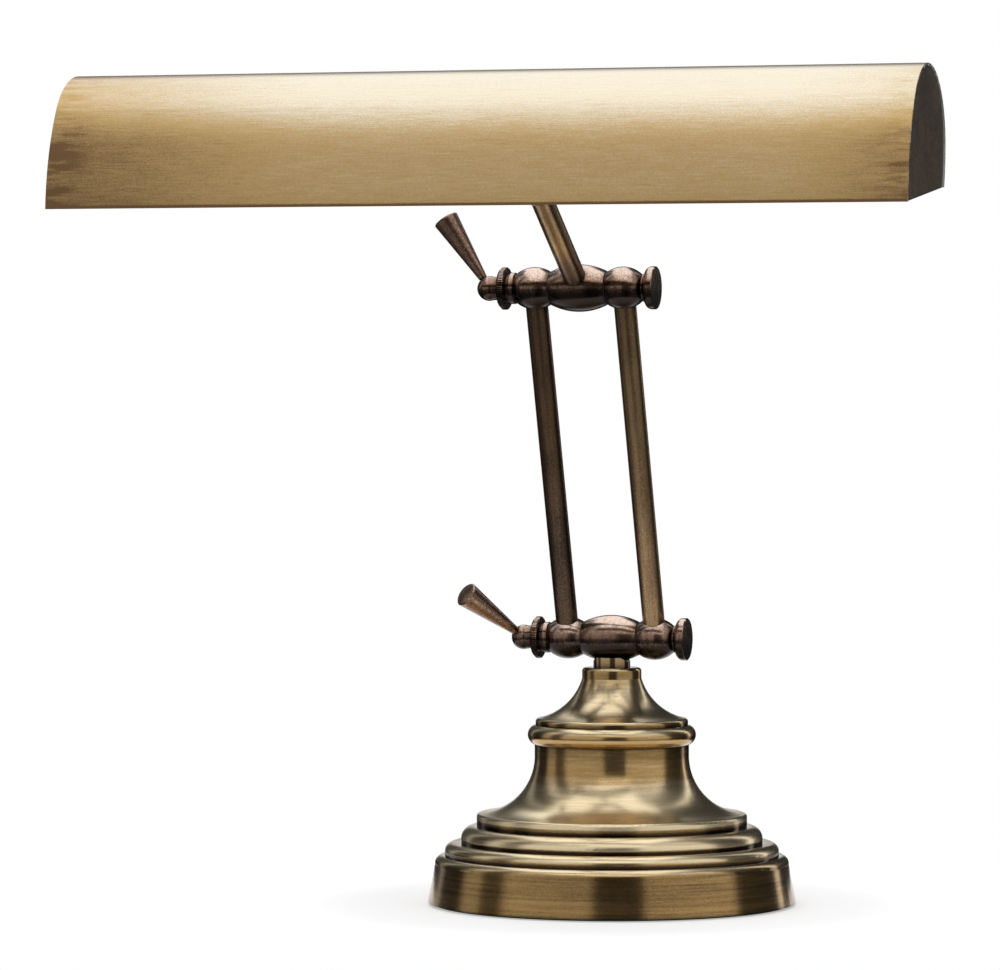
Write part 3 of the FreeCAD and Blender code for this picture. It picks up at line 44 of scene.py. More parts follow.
class Tree:
    """A material's or world's node tree, built with short calls."""

    def __init__(self, owner):
        owner.use_nodes = True
        self.tree = owner.node_tree
        self.tree.nodes.clear()

    def add(self, kind, inputs=None, **settings):
        node = self.tree.nodes.new(kind)
        for name, value in settings.items():
            setattr(node, name, value)
        for name, value in (inputs or {}).items():
            self.feed(node.inputs[name], value)
        return node

    def feed(self, socket, value):
        if isinstance(value, bpy.types.NodeSocket):
            self.tree.links.new(value, socket)
        elif isinstance(value, bpy.types.Node):
            self.tree.links.new(value.outputs[0], socket)
        else:
            socket.default_value = value

    def math(self, operation, first, second=0.0, clamp=False):
        node = self.add("ShaderNodeMath", {0: first, 1: second}, operation=operation)
        node.use_clamp = clamp
        return node.outputs[0]

    def centred(self, value, amount):
        """A 0 to 1 value moved to vary about zero."""
        return self.math("MULTIPLY", self.math("SUBTRACT", value, 0.5), amount)

    def steps(self, value, low, high, start=0.0, end=1.0):
        """A smooth rise from start to end as value goes from low to high."""
        node = self.add("ShaderNodeMapRange",
                        {"Value": value, "From Min": low, "From Max": high,
                         "To Min": start, "To Max": end}, interpolation_type="SMOOTHSTEP")
        return node.outputs["Result"]

    def mix(self, factor, first, second, blend="MIX"):
        node = self.add("ShaderNodeMix", data_type="RGBA", blend_type=blend)
        self.feed(node.inputs["Factor"], factor)
        self.feed(node.inputs["A"], first)
        self.feed(node.inputs["B"], second)
        return node.outputs["Result"]

    def noise(self, vector, scale, detail=3.0, roughness=0.55, w=None):
        node = self.add("ShaderNodeTexNoise", {"Vector": vector, "Scale": scale,
                                               "Detail": detail, "Roughness": roughness})
        if w is not None:
            node.noise_dimensions = "4D"
            self.feed(node.inputs["W"], w)
        return node.outputs["Fac"]

    def dot(self, vector, axis):
        return self.add("ShaderNodeVectorMath", {0: vector, 1: tuple(axis)},
                        operation="DOT_PRODUCT").outputs["Value"]

    def vector(self, x, y, z):
        return self.add("ShaderNodeCombineXYZ", {"X": x, "Y": y, "Z": z}).outputs[0]

    def split(self, vector):
        node = self.add("ShaderNodeSeparateXYZ", {"Vector": vector})
        return node.outputs["X"], node.outputs["Y"], node.outputs["Z"]

    def place(self, origin=(0.0, 0.0, 0.0), turn=0.0):
        """Object coordinates, measured from an origin in a frame turned about X."""
        coordinates = self.add("ShaderNodeTexCoord").outputs["Object"]
        moved = self.add("ShaderNodeVectorMath", {0: coordinates, 1: tuple(origin)},
                         operation="SUBTRACT")
        turned = self.add("ShaderNodeVectorRotate", {"Vector": moved, "Angle": -turn},
                          rotation_type="X_AXIS")
        return turned.outputs[0]


def colour(red, green, blue):
    return (red, green, blue, 1.0)


# ---------------------------------------------------------------- brass

class Finish:
    """How one group of brass pieces is brushed and browned."""

    bright = colour(0.80, 0.60, 0.32)
    mid = colour(0.42, 0.27, 0.12)
    dark = colour(0.075, 0.045, 0.025)
    brown = 0.5                 # where it lies between bright (0) and dark (1)
    brushing = 1.0              # how much the brush marks change that
    broad = 0.75                # share of the broad marks
    grain = 900.0               # marks per metre across the brushing, roughly
    clouds = 0.5                # how much soft clouds change it
    speckle = 0.0               # how much fine specks change it
    groove = 0.8                # how brown hollows are
    groove_reach = 0.006        # how wide a hollow may be, in metres
    roughness = 0.3
    patina_roughness = 0.08     # added where it is brown
    anisotropy = 0.5
    bump = 0.1
    coat = 0.3

    def __init__(self, name, axis, origin=(0.0, 0.0, 0.0), turn=0.0, **changes):
        self.name = name
        self.axis = axis
        self.origin = origin
        self.turn = turn
        for key, value in changes.items():
            setattr(self, key, value)


LEAST_RADIUS = 0.0005           # keeps the brush marks defined on the axis itself
ROUND_REACH = 0.06              # metres that one turn round the axis counts for


def streak_field(tree, finish, scale, length):
    """Noise drawn out into brush marks: round the axis for turned pieces, along it for tubes
    and sheet."""
    x, y, z = tree.split(tree.place(finish.origin, finish.turn))
    if finish.axis == "along_x":
        return tree.noise(tree.vector(tree.math("MULTIPLY", x, length), y, z), scale)
    if finish.axis == "along_z":
        return tree.noise(tree.vector(x, y, tree.math("MULTIPLY", z, length)), scale)
    first, second, along = (x, y, z) if finish.axis == "round_z" else (y, z, x)
    radius = tree.math("SQRT", tree.math("ADD", tree.math("MULTIPLY", first, first),
                                         tree.math("MULTIPLY", second, second)))
    safe = tree.math("MAXIMUM", radius, LEAST_RADIUS)
    reach = length * ROUND_REACH
    side = tree.math("MULTIPLY", tree.math("DIVIDE", first, safe), reach)
    front = tree.math("MULTIPLY", tree.math("DIVIDE", second, safe), reach)
    return tree.noise(tree.vector(side, front, along), scale, w=radius)


ENAMEL = colour(0.80, 0.79, 0.75)
AGED_ENAMEL = colour(0.74, 0.72, 0.66)
ENAMEL_ROUGHNESS = 0.35
SPECK_SCALE = 1500.0
CLOUD_SCALE = 38.0
BROAD_GRAIN = 0.22              # scale of the broad brush marks, from that of the fine ones
FINE_LENGTH = 0.035             # how much the marks are drawn out; smaller is longer
BROAD_LENGTH = 0.05
MARK_GAIN = 1.2                 # noise keeps near its middle, so the marks are strengthened
HOLLOW_LIGHT = (0.35, 0.95)     # share of open surroundings in a hollow and on the flat
MARK_DEPTH = 0.0002             # metres
COAT_SHARE = 0.8                # the coat's roughness, from that of the metal
# how the brushing lies on a piece: axis of its tangent and turn of its highlight
BRUSHED = {"round_z": ("Z", 0.25), "round_x": ("X", 0.25), "along_x": ("X", 0.0),
           "along_z": ("Z", 0.0)}


def brass(finish, browning_and_painted_light=None, lining=None):
    """Antique brass: gold where it is rubbed, brown in the grooves and between brush marks; the
    browning given for a piece also carries its painted highlights and painted shade. Where the
    lining is 1 the surface is painted white instead."""
    material = bpy.data.materials.new(finish.name)
    tree = Tree(material)
    place = tree.place(finish.origin, finish.turn)
    fine = streak_field(tree, finish, finish.grain, FINE_LENGTH)
    broad = streak_field(tree, finish, finish.grain * BROAD_GRAIN, BROAD_LENGTH)
    cloud = tree.noise(place, CLOUD_SCALE, detail=4.0)
    groove = tree.add("ShaderNodeAmbientOcclusion", {"Distance": finish.groove_reach}, samples=8)
    hollow = tree.steps(groove.outputs["AO"], *HOLLOW_LIGHT, 1.0, 0.0)
    strokes = tree.math("ADD", tree.centred(fine, MARK_GAIN * finish.brushing),
                        tree.centred(broad, MARK_GAIN * finish.brushing * finish.broad))
    patina_and_painted_light = tree.math("ADD", strokes, tree.centred(cloud, finish.clouds))
    if finish.speckle:
        specks = tree.noise(place, SPECK_SCALE, detail=1.0)
        patina_and_painted_light = tree.math("ADD", patina_and_painted_light, tree.centred(specks, finish.speckle))
    patina_and_painted_light = tree.math("ADD", patina_and_painted_light, finish.brown)
    if browning_and_painted_light is not None:
        patina_and_painted_light = tree.math("ADD", patina_and_painted_light, browning_and_painted_light(tree))
    patina_and_painted_light = tree.math("ADD", patina_and_painted_light, tree.math("MULTIPLY", hollow, finish.groove), clamp=True)
    light = tree.mix(tree.steps(patina_and_painted_light, 0.0, 0.55), finish.bright, finish.mid)
    tint = tree.mix(tree.steps(patina_and_painted_light, 0.45, 1.0), light, finish.dark)
    rough = tree.math("ADD", finish.roughness, tree.math("MULTIPLY", patina_and_painted_light,
                                                         finish.patina_roughness))
    height = tree.math("ADD", fine, tree.math("MULTIPLY", broad, 0.5))
    relief = tree.add("ShaderNodeBump", {"Strength": finish.bump, "Distance": MARK_DEPTH,
                                         "Height": height})
    shader = tree.add("ShaderNodeBsdfPrincipled",
                      {"Base Color": tint, "Metallic": 1.0, "Roughness": rough,
                       "Anisotropic": finish.anisotropy, "Normal": relief,
                       "Coat Weight": finish.coat,
                       "Coat Roughness": finish.roughness * COAT_SHARE})
    axis, turn = BRUSHED[finish.axis]
    tree.feed(shader.inputs["Tangent"],
              tree.add("ShaderNodeTangent", axis=axis, direction_type="RADIAL"))
    tree.feed(shader.inputs["Anisotropic Rotation"], turn)
    surface = shader.outputs[0]
    if lining is not None:
        enamel = tree.mix(tree.steps(cloud, 0.3, 0.7), ENAMEL, AGED_ENAMEL)
        paint = tree.add("ShaderNodeBsdfPrincipled",
                         {"Base Color": enamel, "Roughness": ENAMEL_ROUGHNESS,
                          "Normal": relief})
        surface = tree.add("ShaderNodeMixShader", {0: lining(tree), 1: surface,
                                                   2: paint.outputs[0]}).outputs[0]
    tree.add("ShaderNodeOutputMaterial", {"Surface": surface})
    return material


BLACK = colour(0.0, 0.0, 0.0)
MOTTLE_CLOUDS = 0.08            # scale of the mottling's clouds, from that of its grain
MOTTLE_RANGE = (0.75, 1.3)      # grain and clouds together, from clear to spotted
MOTTLE_DEPTH = 0.0003           # metres
MOTTLE_ROUGHNESS = 0.12


def plain(name, tint, roughness, metallic=0.0, spot=BLACK, scale=400.0, amount=0.25, bump=0.1,
          **sockets):
    """A finish with fine mottling, for the pieces that aren't brass."""
    material = bpy.data.materials.new(name)
    tree = Tree(material)
    place = tree.place()
    grain = tree.noise(place, scale, detail=5.0)
    cloud = tree.noise(place, scale * MOTTLE_CLOUDS, detail=2.0)
    spotted = tree.steps(tree.math("ADD", grain, cloud), *MOTTLE_RANGE)
    patch = tree.math("MULTIPLY", spotted, amount)
    relief = tree.add("ShaderNodeBump", {"Strength": bump, "Distance": MOTTLE_DEPTH,
                                         "Height": grain})
    inputs = {"Base Color": tree.mix(patch, tint, spot), "Metallic": metallic,
              "Roughness": tree.math("ADD", roughness,
                                     tree.math("MULTIPLY", grain, MOTTLE_ROUGHNESS)),
              "Normal": relief}
    inputs.update(sockets)
    shader = tree.add("ShaderNodeBsdfPrincipled", inputs)
    tree.add("ShaderNodeOutputMaterial", {"Surface": shader.outputs[0]})
    return material


# How much browner a place is, or with a negative amount how much lighter: between which two values
# this comes in, and from how much to how much. On the shade the values are metres from the swivel,
# along it (x) or up from it (z).
LEFT_END = (-0.050, -0.180, 0.0, 0.34)
RIGHT_END = (0.120, 0.180, 0.0, 0.20)
# the ends' browning fades towards the top, where the painted highlight lies
LEFT_END_FADES = (0.010, 0.030, 1.0, 0.90)
RIGHT_END_FADES = (0.010, 0.030, 1.0, 0.50)
LOWER_EDGE = (0.000, -0.016, 0.0, 0.10)
LOWER_EDGE_LINE = (-0.0076, -0.0086, 0.0, 0.60)
# painted highlight along the top of the shade
PAINTED_TOP_HIGHLIGHT = (0.0155, 0.035, 0.0, -0.40)
BLOTTED_ENDS = (0.156, 0.1785)
BLOT_SIDES = (-0.15, 0.15, 0.60, 0.36)
# the blots also fade towards the top, under the painted highlight
BLOT_FADES = (0.012, 0.034, 1.0, 0.45)
BLOT_CONTRAST = (0.36, 0.80)
BLOT_SCALE = 330.0
BLOT_LENGTH = 0.18              # how much the blots are drawn out; smaller is longer
# painted highlight on the sheet's edge round the flat ends
PAINTED_EDGE_HIGHLIGHT = (0.7, 0.9, 0.0, -0.45)


def shade_patina_and_highlights(tree):
    """The shade has a painted highlight on top and is browner towards its ends and lower edges."""
    x, y, z = tree.split(tree.place(tuple(PIVOT), SHADE_TILT))
    left = tree.math("MULTIPLY", tree.steps(x, *LEFT_END), tree.steps(z, *LEFT_END_FADES))
    right = tree.math("MULTIPLY", tree.steps(x, *RIGHT_END), tree.steps(z, *RIGHT_END_FADES))
    ends = tree.math("ADD", left, right)
    foot = tree.math("ADD", tree.steps(z, *LOWER_EDGE), tree.steps(z, *LOWER_EDGE_LINE))
    # painted highlight along the top
    pale = tree.steps(z, *PAINTED_TOP_HIGHLIGHT)
    # streaky blots close to the ends, weaker on the right and at the top
    from_middle = tree.math("ABSOLUTE", x)
    blot = tree.noise(tree.vector(tree.math("MULTIPLY", x, BLOT_LENGTH), y, z), BLOT_SCALE,
                      detail=4.0)
    blots = tree.math("MULTIPLY", tree.steps(from_middle, *BLOTTED_ENDS),
                      tree.math("MULTIPLY", tree.steps(blot, *BLOT_CONTRAST),
                                tree.math("MULTIPLY", tree.steps(x, *BLOT_SIDES),
                                          tree.steps(z, *BLOT_FADES))))
    # painted highlight on the edge of the sheet round the flat ends, which looks along the shade
    across = tree.split(tree.add("ShaderNodeTexCoord").outputs["Normal"])[0]
    edge_highlight = tree.steps(tree.math("ABSOLUTE", across), *PAINTED_EDGE_HIGHLIGHT)
    total = tree.math("ADD", ends, tree.math("ADD", foot, pale))
    return tree.math("ADD", total, tree.math("ADD", blots, edge_highlight))


def shade_lining(tree):
    """1 on the faces that look inwards, under the shade."""
    y, z = tree.split(tree.place(tuple(PIVOT), SHADE_TILT))[1:]
    y = tree.math("SUBTRACT", y, SHADE_MIDDLE)
    z = tree.math("SUBTRACT", z, SHADE_FLOOR)
    normal = tree.add("ShaderNodeVectorRotate",
                      {"Vector": tree.add("ShaderNodeTexCoord").outputs["Normal"],
                       "Angle": -SHADE_TILT}, rotation_type="X_AXIS").outputs[0]
    normal_y, normal_z = tree.split(normal)[1:]
    facing = tree.math("ADD", tree.math("MULTIPLY", y, normal_y),
                       tree.math("MULTIPLY", z, normal_z))
    return tree.math("LESS_THAN", facing, 0.0)


LOOKS_INWARD = -0.05            # place along the shade times how far a face looks along it


def cap_lining(tree):
    """1 on the inner faces of the shade's ends."""
    x = tree.split(tree.place())[0]
    across = tree.split(tree.add("ShaderNodeTexCoord").outputs["Normal"])[0]
    return tree.math("LESS_THAN", tree.math("MULTIPLY", x, across), LOOKS_INWARD)


# the arm tubes and the upper arm: metres to the side (x), or up from the table (z). The left tube
# gets painted shade, most of all at its foot, and the right one painted light.
LEFT_ARM = (0.010, -0.010)
LEFT_ARM_FOOT_SHADE = (0.23, 0.13, 0.0, 0.22)
ARM_SIDES_LIGHT_AND_SHADE = (-0.010, 0.010, 0.04, -0.24)
# painted shade on the upper arm where it leaves the joint
UPPER_ARM_FOOT_SHADE = (0.281, 0.266, 0.0, 0.40)


def arm_painted_light_and_shade(tree):
    """The left arm tube is darker than the right one, most of all at its foot: painted shade on
    the left, painted light on the right.
    """
    x, _, z = tree.split(tree.place())
    left_foot_shade = tree.math("MULTIPLY", tree.steps(x, *LEFT_ARM), tree.steps(z, *LEFT_ARM_FOOT_SHADE))
    return tree.math("ADD", left_foot_shade, tree.steps(x, *ARM_SIDES_LIGHT_AND_SHADE))


def upper_arm_painted_shade(tree):
    """The upper arm is brown where it leaves the joint, as painted shade between the parts, and
    gold further up.
    """
    z = tree.split(tree.place())[2]
    return tree.steps(z, *UPPER_ARM_FOOT_SHADE)


CAP_CLOUD_SCALE = 300.0
CAP_CLOUDS = 0.5


def cap_browning(tree):
    """The shade's flat ends are clouded all over."""
    return tree.centred(tree.noise(tree.place(tuple(PIVOT), SHADE_TILT), CAP_CLOUD_SCALE),
                        CAP_CLOUDS)


# painted highlight on a joint's upper side and painted shade below: metres up from a joint's axis
JOINT_PAINTED_LIGHT_AND_SHADE = (-0.0055, 0.0080, 0.42, -0.46)


def joint_painted_light_and_shade(axis):
    """A joint carries a painted highlight on its upper side and painted shade below."""
    def painted_light_and_shade(tree):
        z = tree.split(tree.place(tuple(axis)))[2]
        return tree.steps(z, *JOINT_PAINTED_LIGHT_AND_SHADE)
    return painted_light_and_shade


# the base: how far a face looks up, and heights in metres. Faces that look up carry a painted
# highlight, weaker higher up, and the wall of the foot carries painted shade.
UPWARD_HIGHLIGHT = (0.18, 0.62, 0.0, -0.52)
UPWARD_HIGHLIGHT_FADE = (0.040, 0.046, 1.0, 0.75)
FOOT_WALL_SHADE = (0.021, 0.027, 0.14, 0.0)
# painted highlights on upright bands of the steps: from and to in height, and how much
BAND_HIGHLIGHTS = ((0.0222, 0.0240, -0.40), (0.0272, 0.0292, -0.55), (0.0356, 0.0400, -0.72))
BAND_EDGE = 0.0014


def base_painted_light_and_shade(tree):
    """The base carries a painted highlight where it faces up and on upright bands of its steps;
    the wall of the foot is darker than the bell, as painted shade."""
    z = tree.split(tree.place())[2]
    up = tree.split(tree.add("ShaderNodeTexCoord").outputs["Normal"])[2]
    facing_up_highlight = tree.math("MULTIPLY", tree.steps(up, *UPWARD_HIGHLIGHT),
                          tree.steps(z, *UPWARD_HIGHLIGHT_FADE))
    total = tree.math("ADD", tree.steps(z, *FOOT_WALL_SHADE), facing_up_highlight)
    for low, high, rubbed in BAND_HIGHLIGHTS:
        inside = tree.math("MULTIPLY", tree.steps(z, low, low + BAND_EDGE),
                           tree.steps(z, high, high + BAND_EDGE, 1.0, 0.0))
        total = tree.math("ADD", total, tree.math("MULTIPLY", inside, rubbed))
    return total


# The bright colours below are also those of the painted highlights, and the darker ones those of
# the painted shade.
BASE_FINISH = Finish("brass_spun_base", "round_z",
                     bright=colour(0.86, 0.71, 0.455), mid=colour(0.43, 0.27, 0.105),
                     dark=colour(0.035, 0.022, 0.013), brown=0.50, brushing=0.36, clouds=0.20,
                     speckle=0.25, groove=1.7, groove_reach=0.0035, roughness=0.26,
                     patina_roughness=-0.13, anisotropy=0.45, bump=0.05, coat=0.05)
NECK_FINISH = Finish("brass_polished_neck", "round_z", brown=0.25, brushing=0.3, grain=700.0,
                     clouds=0.2, roughness=0.08, anisotropy=0.0, bump=0.03)
SHADE_FINISH = Finish("brass_brushed_shade", "along_x", PIVOT, SHADE_TILT,
                      bright=colour(0.78, 0.70, 0.545), mid=colour(0.53, 0.35, 0.14),
                      dark=colour(0.17, 0.090, 0.032), brown=0.46, brushing=0.30, broad=0.18,
                      grain=2600.0, clouds=0.05, speckle=0.30, roughness=0.25, anisotropy=0.3,
                      coat=0.4)
CAP_FINISH = Finish("brass_dark_cap", "along_z", PIVOT, SHADE_TILT,
                    bright=colour(0.5, 0.36, 0.2), mid=colour(0.2, 0.14, 0.08),
                    dark=colour(0.05, 0.036, 0.024), brown=0.68, brushing=0.12, clouds=0.9,
                    speckle=1.4, roughness=0.36, anisotropy=0.0, bump=0.05, coat=0.05)
TURNED = dict(bright=colour(0.80, 0.63, 0.52), mid=colour(0.27, 0.16, 0.11),
              dark=colour(0.022, 0.014, 0.011), brushing=0.28, grain=1300.0, clouds=0.3,
              speckle=0.55, roughness=0.16, anisotropy=0.4, bump=0.06, coat=0.15)
LEVER = dict(TURNED, brushing=0.05, speckle=0.9, roughness=0.27, anisotropy=0.0)
TUBE = dict(bright=colour(0.42, 0.28, 0.14), mid=colour(0.17, 0.10, 0.055),
            dark=colour(0.03, 0.020, 0.014), brushing=0.3, grain=1500.0, clouds=0.5,
            speckle=0.6, roughness=0.29, anisotropy=0.0, coat=0.2)
GOLDEN_TUBE = dict(TUBE, bright=colour(0.50, 0.32, 0.115))

MATERIALS = {
    "base": brass(BASE_FINISH, base_painted_light_and_shade),
    "neck": brass(NECK_FINISH),
    "shade": brass(SHADE_FINISH, shade_patina_and_highlights, shade_lining),
    "end_cap": brass(CAP_FINISH, cap_browning, cap_lining),
    "lower_joint": brass(Finish("brass_turned_lower", "round_x", LOWER_AXIS, brown=0.62, **TURNED),
                         joint_painted_light_and_shade(LOWER_AXIS)),
    "upper_joint": brass(Finish("brass_turned_upper", "round_x", UPPER_AXIS, brown=0.62, **TURNED),
                         joint_painted_light_and_shade(UPPER_AXIS)),
    "lever": brass(Finish("brass_lever", "round_x", UPPER_AXIS, brown=0.50, **LEVER)),
    "swivel": brass(Finish("brass_turned_swivel", "round_x", PIVOT, brown=0.6, **TURNED)),
    "arm_tubes": brass(Finish("brass_arm_tubes", "along_z", LOWER_AXIS, ARM_LEAN, brown=0.55,
                              **TUBE), arm_painted_light_and_shade),
    "upper_tube": brass(Finish("brass_upper_tube", "along_z", UPPER_AXIS, UPPER_ARM_LEAN,
                               brown=0.34, **GOLDEN_TUBE), upper_arm_painted_shade),
    "bare_brass": brass(Finish("brass_bare", "round_x", PIVOT, 0.0, brown=0.1, roughness=0.25)),
    "iron": plain("iron_casting", colour(0.09, 0.085, 0.08), 0.6, 0.6, scale=220.0, bump=0.5),
    "zinc": plain("zinc_plate", colour(0.62, 0.62, 0.60), 0.3, 1.0, colour(0.35, 0.33, 0.28)),
    "felt": plain("green_felt", colour(0.035, 0.085, 0.04), 0.95, 0.0, colour(0.06, 0.13, 0.06),
                  scale=900.0, amount=0.8, bump=0.9),
    "fibre": plain("dark_fibre", colour(0.03, 0.02, 0.015), 0.7),
    "plastic": plain("black_plastic", colour(0.02, 0.02, 0.02), 0.4,
                     spot=colour(0.05, 0.05, 0.05)),
    "porcelain": plain("porcelain", colour(0.82, 0.80, 0.74), 0.15, spot=colour(0.6, 0.56, 0.48),
                       amount=0.15, bump=0.03),
    "wire": plain("filament_wire", colour(0.25, 0.24, 0.22), 0.35, 1.0),
    "glass": plain("clear_bulb_glass", colour(1.0, 1.0, 1.0), 0.02, spot=colour(0.9, 0.9, 0.88),
                   bump=0.01, **{"Transmission Weight": 1.0, "IOR": 1.45}),
}

BY_NODE = {
    "felt_pad": "felt", "base_weight": "iron", "base_skirt": "base", "base_cap": "base",
    "neck_collar": "neck", "lower_barrel": "lower_joint", "upper_barrel": "upper_joint",
    "cord_inlet_bushing": "plastic", "switch_body": "plastic",
    "left_arm_tube": "arm_tubes", "right_arm_tube": "arm_tubes", "upper_arm_tube": "upper_tube",
    "shade_shell": "shade", "left_end_cap": "end_cap", "right_end_cap": "end_cap",
    "lower_friction_washers": "fibre", "upper_friction_washers": "fibre",
    "socket_bracket": "zinc", "holder_screws": "zinc",
}
BY_ENDING = {
    "_lever_handle": "lever", "_lampholder": "porcelain", "_centre_contact": "bare_brass",
    "_screw_shell": "bare_brass", "_bulb_cap": "bare_brass", "_bulb_glass": "glass",
    "_filament": "wire",
}
BY_START = {"swivel_": "swivel", "switch_": "swivel", "stem_": "zinc", "stud_": "zinc",
            "lower_": "lower_joint", "upper_": "upper_joint"}


def material_for(name):
    """The finish of a CAD node: its own, or that of the pieces named like it."""
    if name in BY_NODE:
        return MATERIALS[BY_NODE[name]]
    for ending, key in BY_ENDING.items():
        if name.endswith(ending):
            return MATERIALS[key]
    for start, key in BY_START.items():
        if name.startswith(start):
            return MATERIALS[key]
    raise KeyError("no finish for " + name)


for name, node in NODES.items():
    node.data.materials.clear()
    node.data.materials.append(material_for(name))


# ---------------------------------------------------------------- studio

HEADING = math.radians(16.83)   # the camera stands this far to the lamp's right
TOWARDS_CAMERA = Vector((math.sin(HEADING), -math.cos(HEADING), 0.0))
VIEWERS_RIGHT = Vector((math.cos(HEADING), math.sin(HEADING), 0.0))

# level of the studio round the lamp, by degrees from the camera, to the viewer's right
WALLS = ((-180, 0.05), (-150, 0.05), (-146, 0.40), (-142, 0.40), (-138, 0.04), (-115, 0.04),
         (-108, 0.60), (-96, 0.60), (-92, 0.13), (-78, 0.13), (-72, 0.76), (-16, 0.70),
         (-11, 0.09), (17, 0.09), (22, 0.80), (82, 0.84), (88, 0.09), (128, 0.04),
         (130, 1.60), (135, 1.60), (137, 0.03), (180, 0.03))
FLOOR_SHARE = 0.35              # how much of that level is left below the horizon
FLOOR_EDGE = -0.10              # where it has fallen to that, as a sine of the height
# soft box over the lamp: level, and its edges in degrees from the camera's horizon, over the top
SOFT_BOX = (1.26, 1.27, 1.29)
BOX_LOW_LEFT = 50.0
BOX_LOW_RIGHT = 36.0
BOX_LOW_TURN = (-0.34, -0.22)   # where the left height changes to the right one, as sines
BOX_LOW_BLUR = 0.14             # radians
BOX_FAR_END = 158.0
BOX_FAR_START = 141.0
BOX_HALF_WIDTH = 0.44           # as a sine, over the lamp
BOX_FAR_HALF_WIDTH = 0.20       # the same, behind the lamp
BOX_NARROWS = (105.0, 135.0)    # where the one changes to the other
BOX_MIDDLE = -0.08
BOX_SIDE_BLUR = 0.06
# pale panel above the camera, lit as a brow over the lamp's front
BROW = (1.10, 1.10, 1.10)
BROW_MIDDLE = 0.008             # in turns from the camera, to the right
BROW_EDGES = (0.085, 0.055)
BROW_RISE = (0.38, 0.55)        # where it begins, as sines of the height
# level of the ceiling, behind the lamp and in front of it
CEILING_BEHIND = (0.20, 0.20, 0.20)
CEILING_FRONT = (0.40, 0.40, 0.40)
CEILING_TURN = (-0.35, 0.10)
CEILING_RISE = (0.60, 0.95)
# half angles, in degrees, of the backdrop that metal and glass mirror straight behind the lamp
BACKDROP_OUTER = 9.0
BACKDROP_INNER = 6.0

TABLE_RADIUS = 0.26
TABLE_SIDES = 96
TABLE_DROP = 0.0003             # under the felt, so that the two faces don't share a plane
TABLE_WHITE = colour(0.8, 0.8, 0.8)
TABLE_LIFT = (0.42, 0.75)       # near the lamp, where its shadow shows, and further out
TABLE_LIFT_RADII = (0.10, 0.21)

# metres from the origin
CAMERA_DISTANCE = 2.350
CAMERA_LEFT = 0.04824
CAMERA_HEIGHT = 0.2332
CAMERA_LENS = 196.06            # millimetres, as is the sensor's width
CAMERA_SENSOR = 36.0
CAMERA_SHIFT = -0.1224


def turns(degrees):
    """An angle from the camera as a place on the ramp, which goes once round."""
    return degrees / 360.0 + 0.5


def build_world():
    """Pale walls with dark boards in them, and a long soft box that passes over the lamp. The
    camera, and what mirrors the backdrop, see plain white."""
    world = bpy.data.worlds.new("studio")
    bpy.context.scene.world = world
    tree = Tree(world)
    direction = tree.add("ShaderNodeTexCoord").outputs["Generated"]
    z = tree.split(direction)[2]
    toward = tree.dot(direction, TOWARDS_CAMERA)
    aside = tree.dot(direction, VIEWERS_RIGHT)
    angle = tree.math("DIVIDE", tree.math("ARCTAN2", aside, toward), 2.0 * math.pi)
    ramp = tree.add("ShaderNodeValToRGB", {"Fac": tree.math("ADD", angle, 0.5)})
    stops = ramp.color_ramp.elements
    while len(stops) > 1:
        stops.remove(stops[-1])
    stops[0].position = turns(WALLS[0][0])
    for degrees, level in WALLS[1:]:
        stops.new(turns(degrees))
    for stop, (degrees, level) in zip(stops, WALLS):
        stop.color = colour(level, level, level)
    walls = ramp.outputs["Color"]
    below = tree.steps(z, FLOOR_EDGE, 0.0, FLOOR_SHARE, 1.0)
    level = tree.mix(1.0, walls, below, "MULTIPLY")

    off_brow = tree.math("ABSOLUTE", tree.math("SUBTRACT", angle, BROW_MIDDLE))
    brow = tree.math("MULTIPLY", tree.steps(z, *BROW_RISE), tree.steps(off_brow, *BROW_EDGES))
    level = tree.mix(brow, level, colour(*BROW))
    ceiling = tree.mix(tree.steps(toward, *CEILING_TURN), colour(*CEILING_BEHIND),
                       colour(*CEILING_FRONT))
    level = tree.mix(tree.steps(z, *CEILING_RISE), level, ceiling)

    over = tree.math("ARCTAN2", z, toward)
    low = tree.steps(aside, *BOX_LOW_TURN, math.radians(BOX_LOW_LEFT),
                     math.radians(BOX_LOW_RIGHT))
    front = tree.steps(over, tree.math("SUBTRACT", low, BOX_LOW_BLUR),
                       tree.math("ADD", low, BOX_LOW_BLUR))
    back = tree.steps(over, math.radians(BOX_FAR_END), math.radians(BOX_FAR_START))
    reach = tree.steps(over, math.radians(BOX_NARROWS[0]), math.radians(BOX_NARROWS[1]),
                       BOX_HALF_WIDTH, BOX_FAR_HALF_WIDTH)
    off_box = tree.math("ABSOLUTE", tree.math("SUBTRACT", aside, BOX_MIDDLE))
    sides = tree.steps(off_box, tree.math("ADD", reach, BOX_SIDE_BLUR),
                       tree.math("SUBTRACT", reach, BOX_SIDE_BLUR))
    box = tree.math("MULTIPLY", tree.math("MULTIPLY", front, back), sides)
    level = tree.mix(box, level, colour(*SOFT_BOX))

    rays = tree.add("ShaderNodeLightPath")
    backdrop = tree.steps(toward, -math.cos(math.radians(BACKDROP_OUTER)),
                          -math.cos(math.radians(BACKDROP_INNER)))
    mirrored = tree.math("MULTIPLY", tree.math("MAXIMUM", rays.outputs["Is Glossy Ray"],
                                               rays.outputs["Is Transmission Ray"]), backdrop)
    seen = tree.math("MAXIMUM", rays.outputs["Is Camera Ray"], mirrored)
    level = tree.mix(seen, level, colour(1.0, 1.0, 1.0))
    sky = tree.add("ShaderNodeBackground", {"Color": level, "Strength": 1.0})
    tree.add("ShaderNodeOutputWorld", {"Surface": sky.outputs[0]})


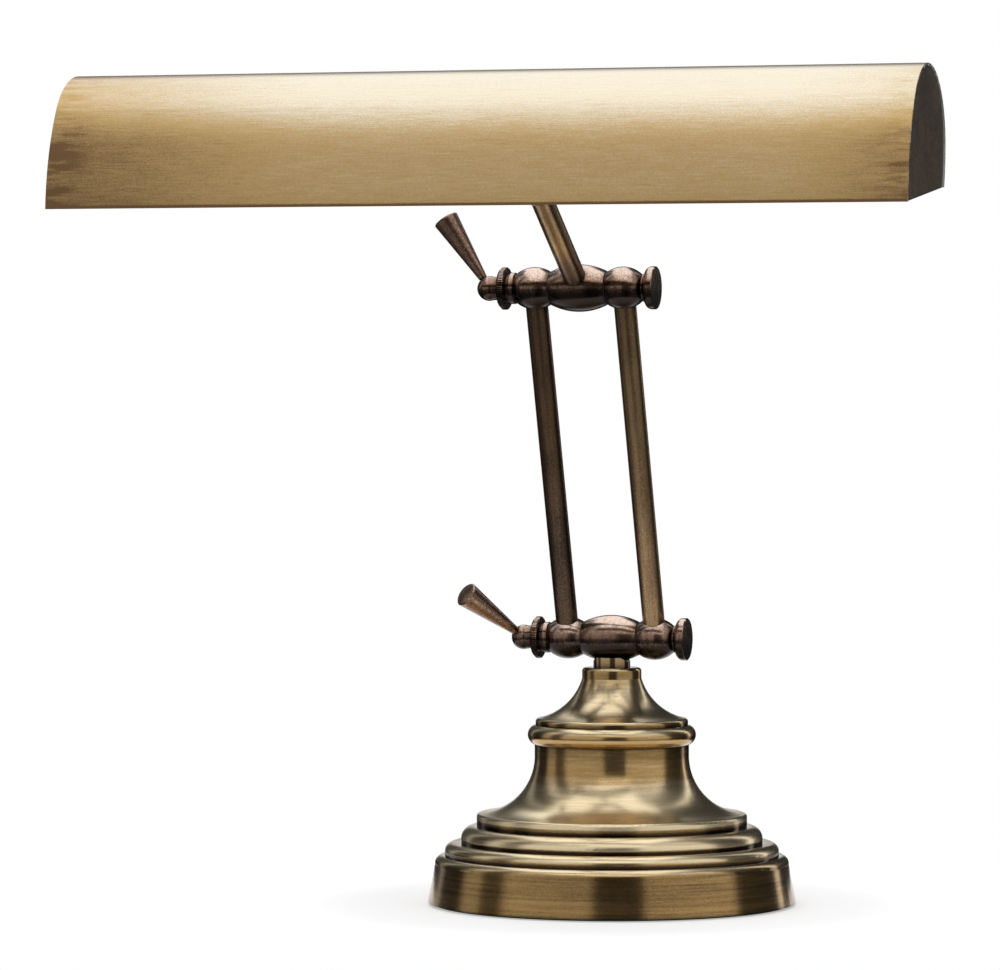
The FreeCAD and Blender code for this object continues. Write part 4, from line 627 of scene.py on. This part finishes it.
def build_table():
    """Round white table, lifted to the backdrop's white for the camera, metal and glass."""
    angles = [math.tau * step / TABLE_SIDES for step in range(TABLE_SIDES)]
    rim = [(TABLE_RADIUS * math.cos(angle), TABLE_RADIUS * math.sin(angle), -TABLE_DROP)
           for angle in angles]
    mesh = bpy.data.meshes.new("table")
    mesh.from_pydata(rim, [], [tuple(range(TABLE_SIDES))])
    table = bpy.data.objects.new("table", mesh)
    bpy.context.collection.objects.link(table)
    material = bpy.data.materials.new("white_table")
    tree = Tree(material)
    matte = tree.add("ShaderNodeBsdfDiffuse", {"Color": TABLE_WHITE})
    x, y = tree.split(tree.place())[:2]
    radius = tree.math("SQRT", tree.math("ADD", tree.math("MULTIPLY", x, x),
                                         tree.math("MULTIPLY", y, y)))
    strength = tree.steps(radius, *TABLE_LIFT_RADII, *TABLE_LIFT)
    lift = tree.add("ShaderNodeEmission", {"Color": colour(1.0, 1.0, 1.0), "Strength": strength})
    both = tree.add("ShaderNodeAddShader", {0: matte.outputs[0], 1: lift.outputs[0]})
    rays = tree.add("ShaderNodeLightPath")
    seen = tree.math("MAXIMUM", rays.outputs["Is Camera Ray"],
                     tree.math("MAXIMUM", rays.outputs["Is Glossy Ray"],
                               rays.outputs["Is Transmission Ray"]))
    shader = tree.add("ShaderNodeMixShader", {0: seen, 1: matte.outputs[0], 2: both.outputs[0]})
    tree.add("ShaderNodeOutputMaterial", {"Surface": shader.outputs[0]})
    mesh.materials.append(material)


def build_camera():
    """Level camera to the lamp's right, moved down in its frame as the photograph is."""
    data = bpy.data.cameras.new("camera")
    data.lens = CAMERA_LENS
    data.sensor_width = CAMERA_SENSOR
    data.shift_y = CAMERA_SHIFT
    camera = bpy.data.objects.new("camera", data)
    camera.location = (TOWARDS_CAMERA * CAMERA_DISTANCE - VIEWERS_RIGHT * CAMERA_LEFT
                       + Vector((0.0, 0.0, CAMERA_HEIGHT)))
    camera.rotation_euler = Euler((math.radians(90.0), 0.0, HEADING))
    bpy.context.collection.objects.link(camera)
    bpy.context.scene.camera = camera


build_world()
build_table()
build_camera()
bpy.context.scene.view_settings.view_transform = "Standard"
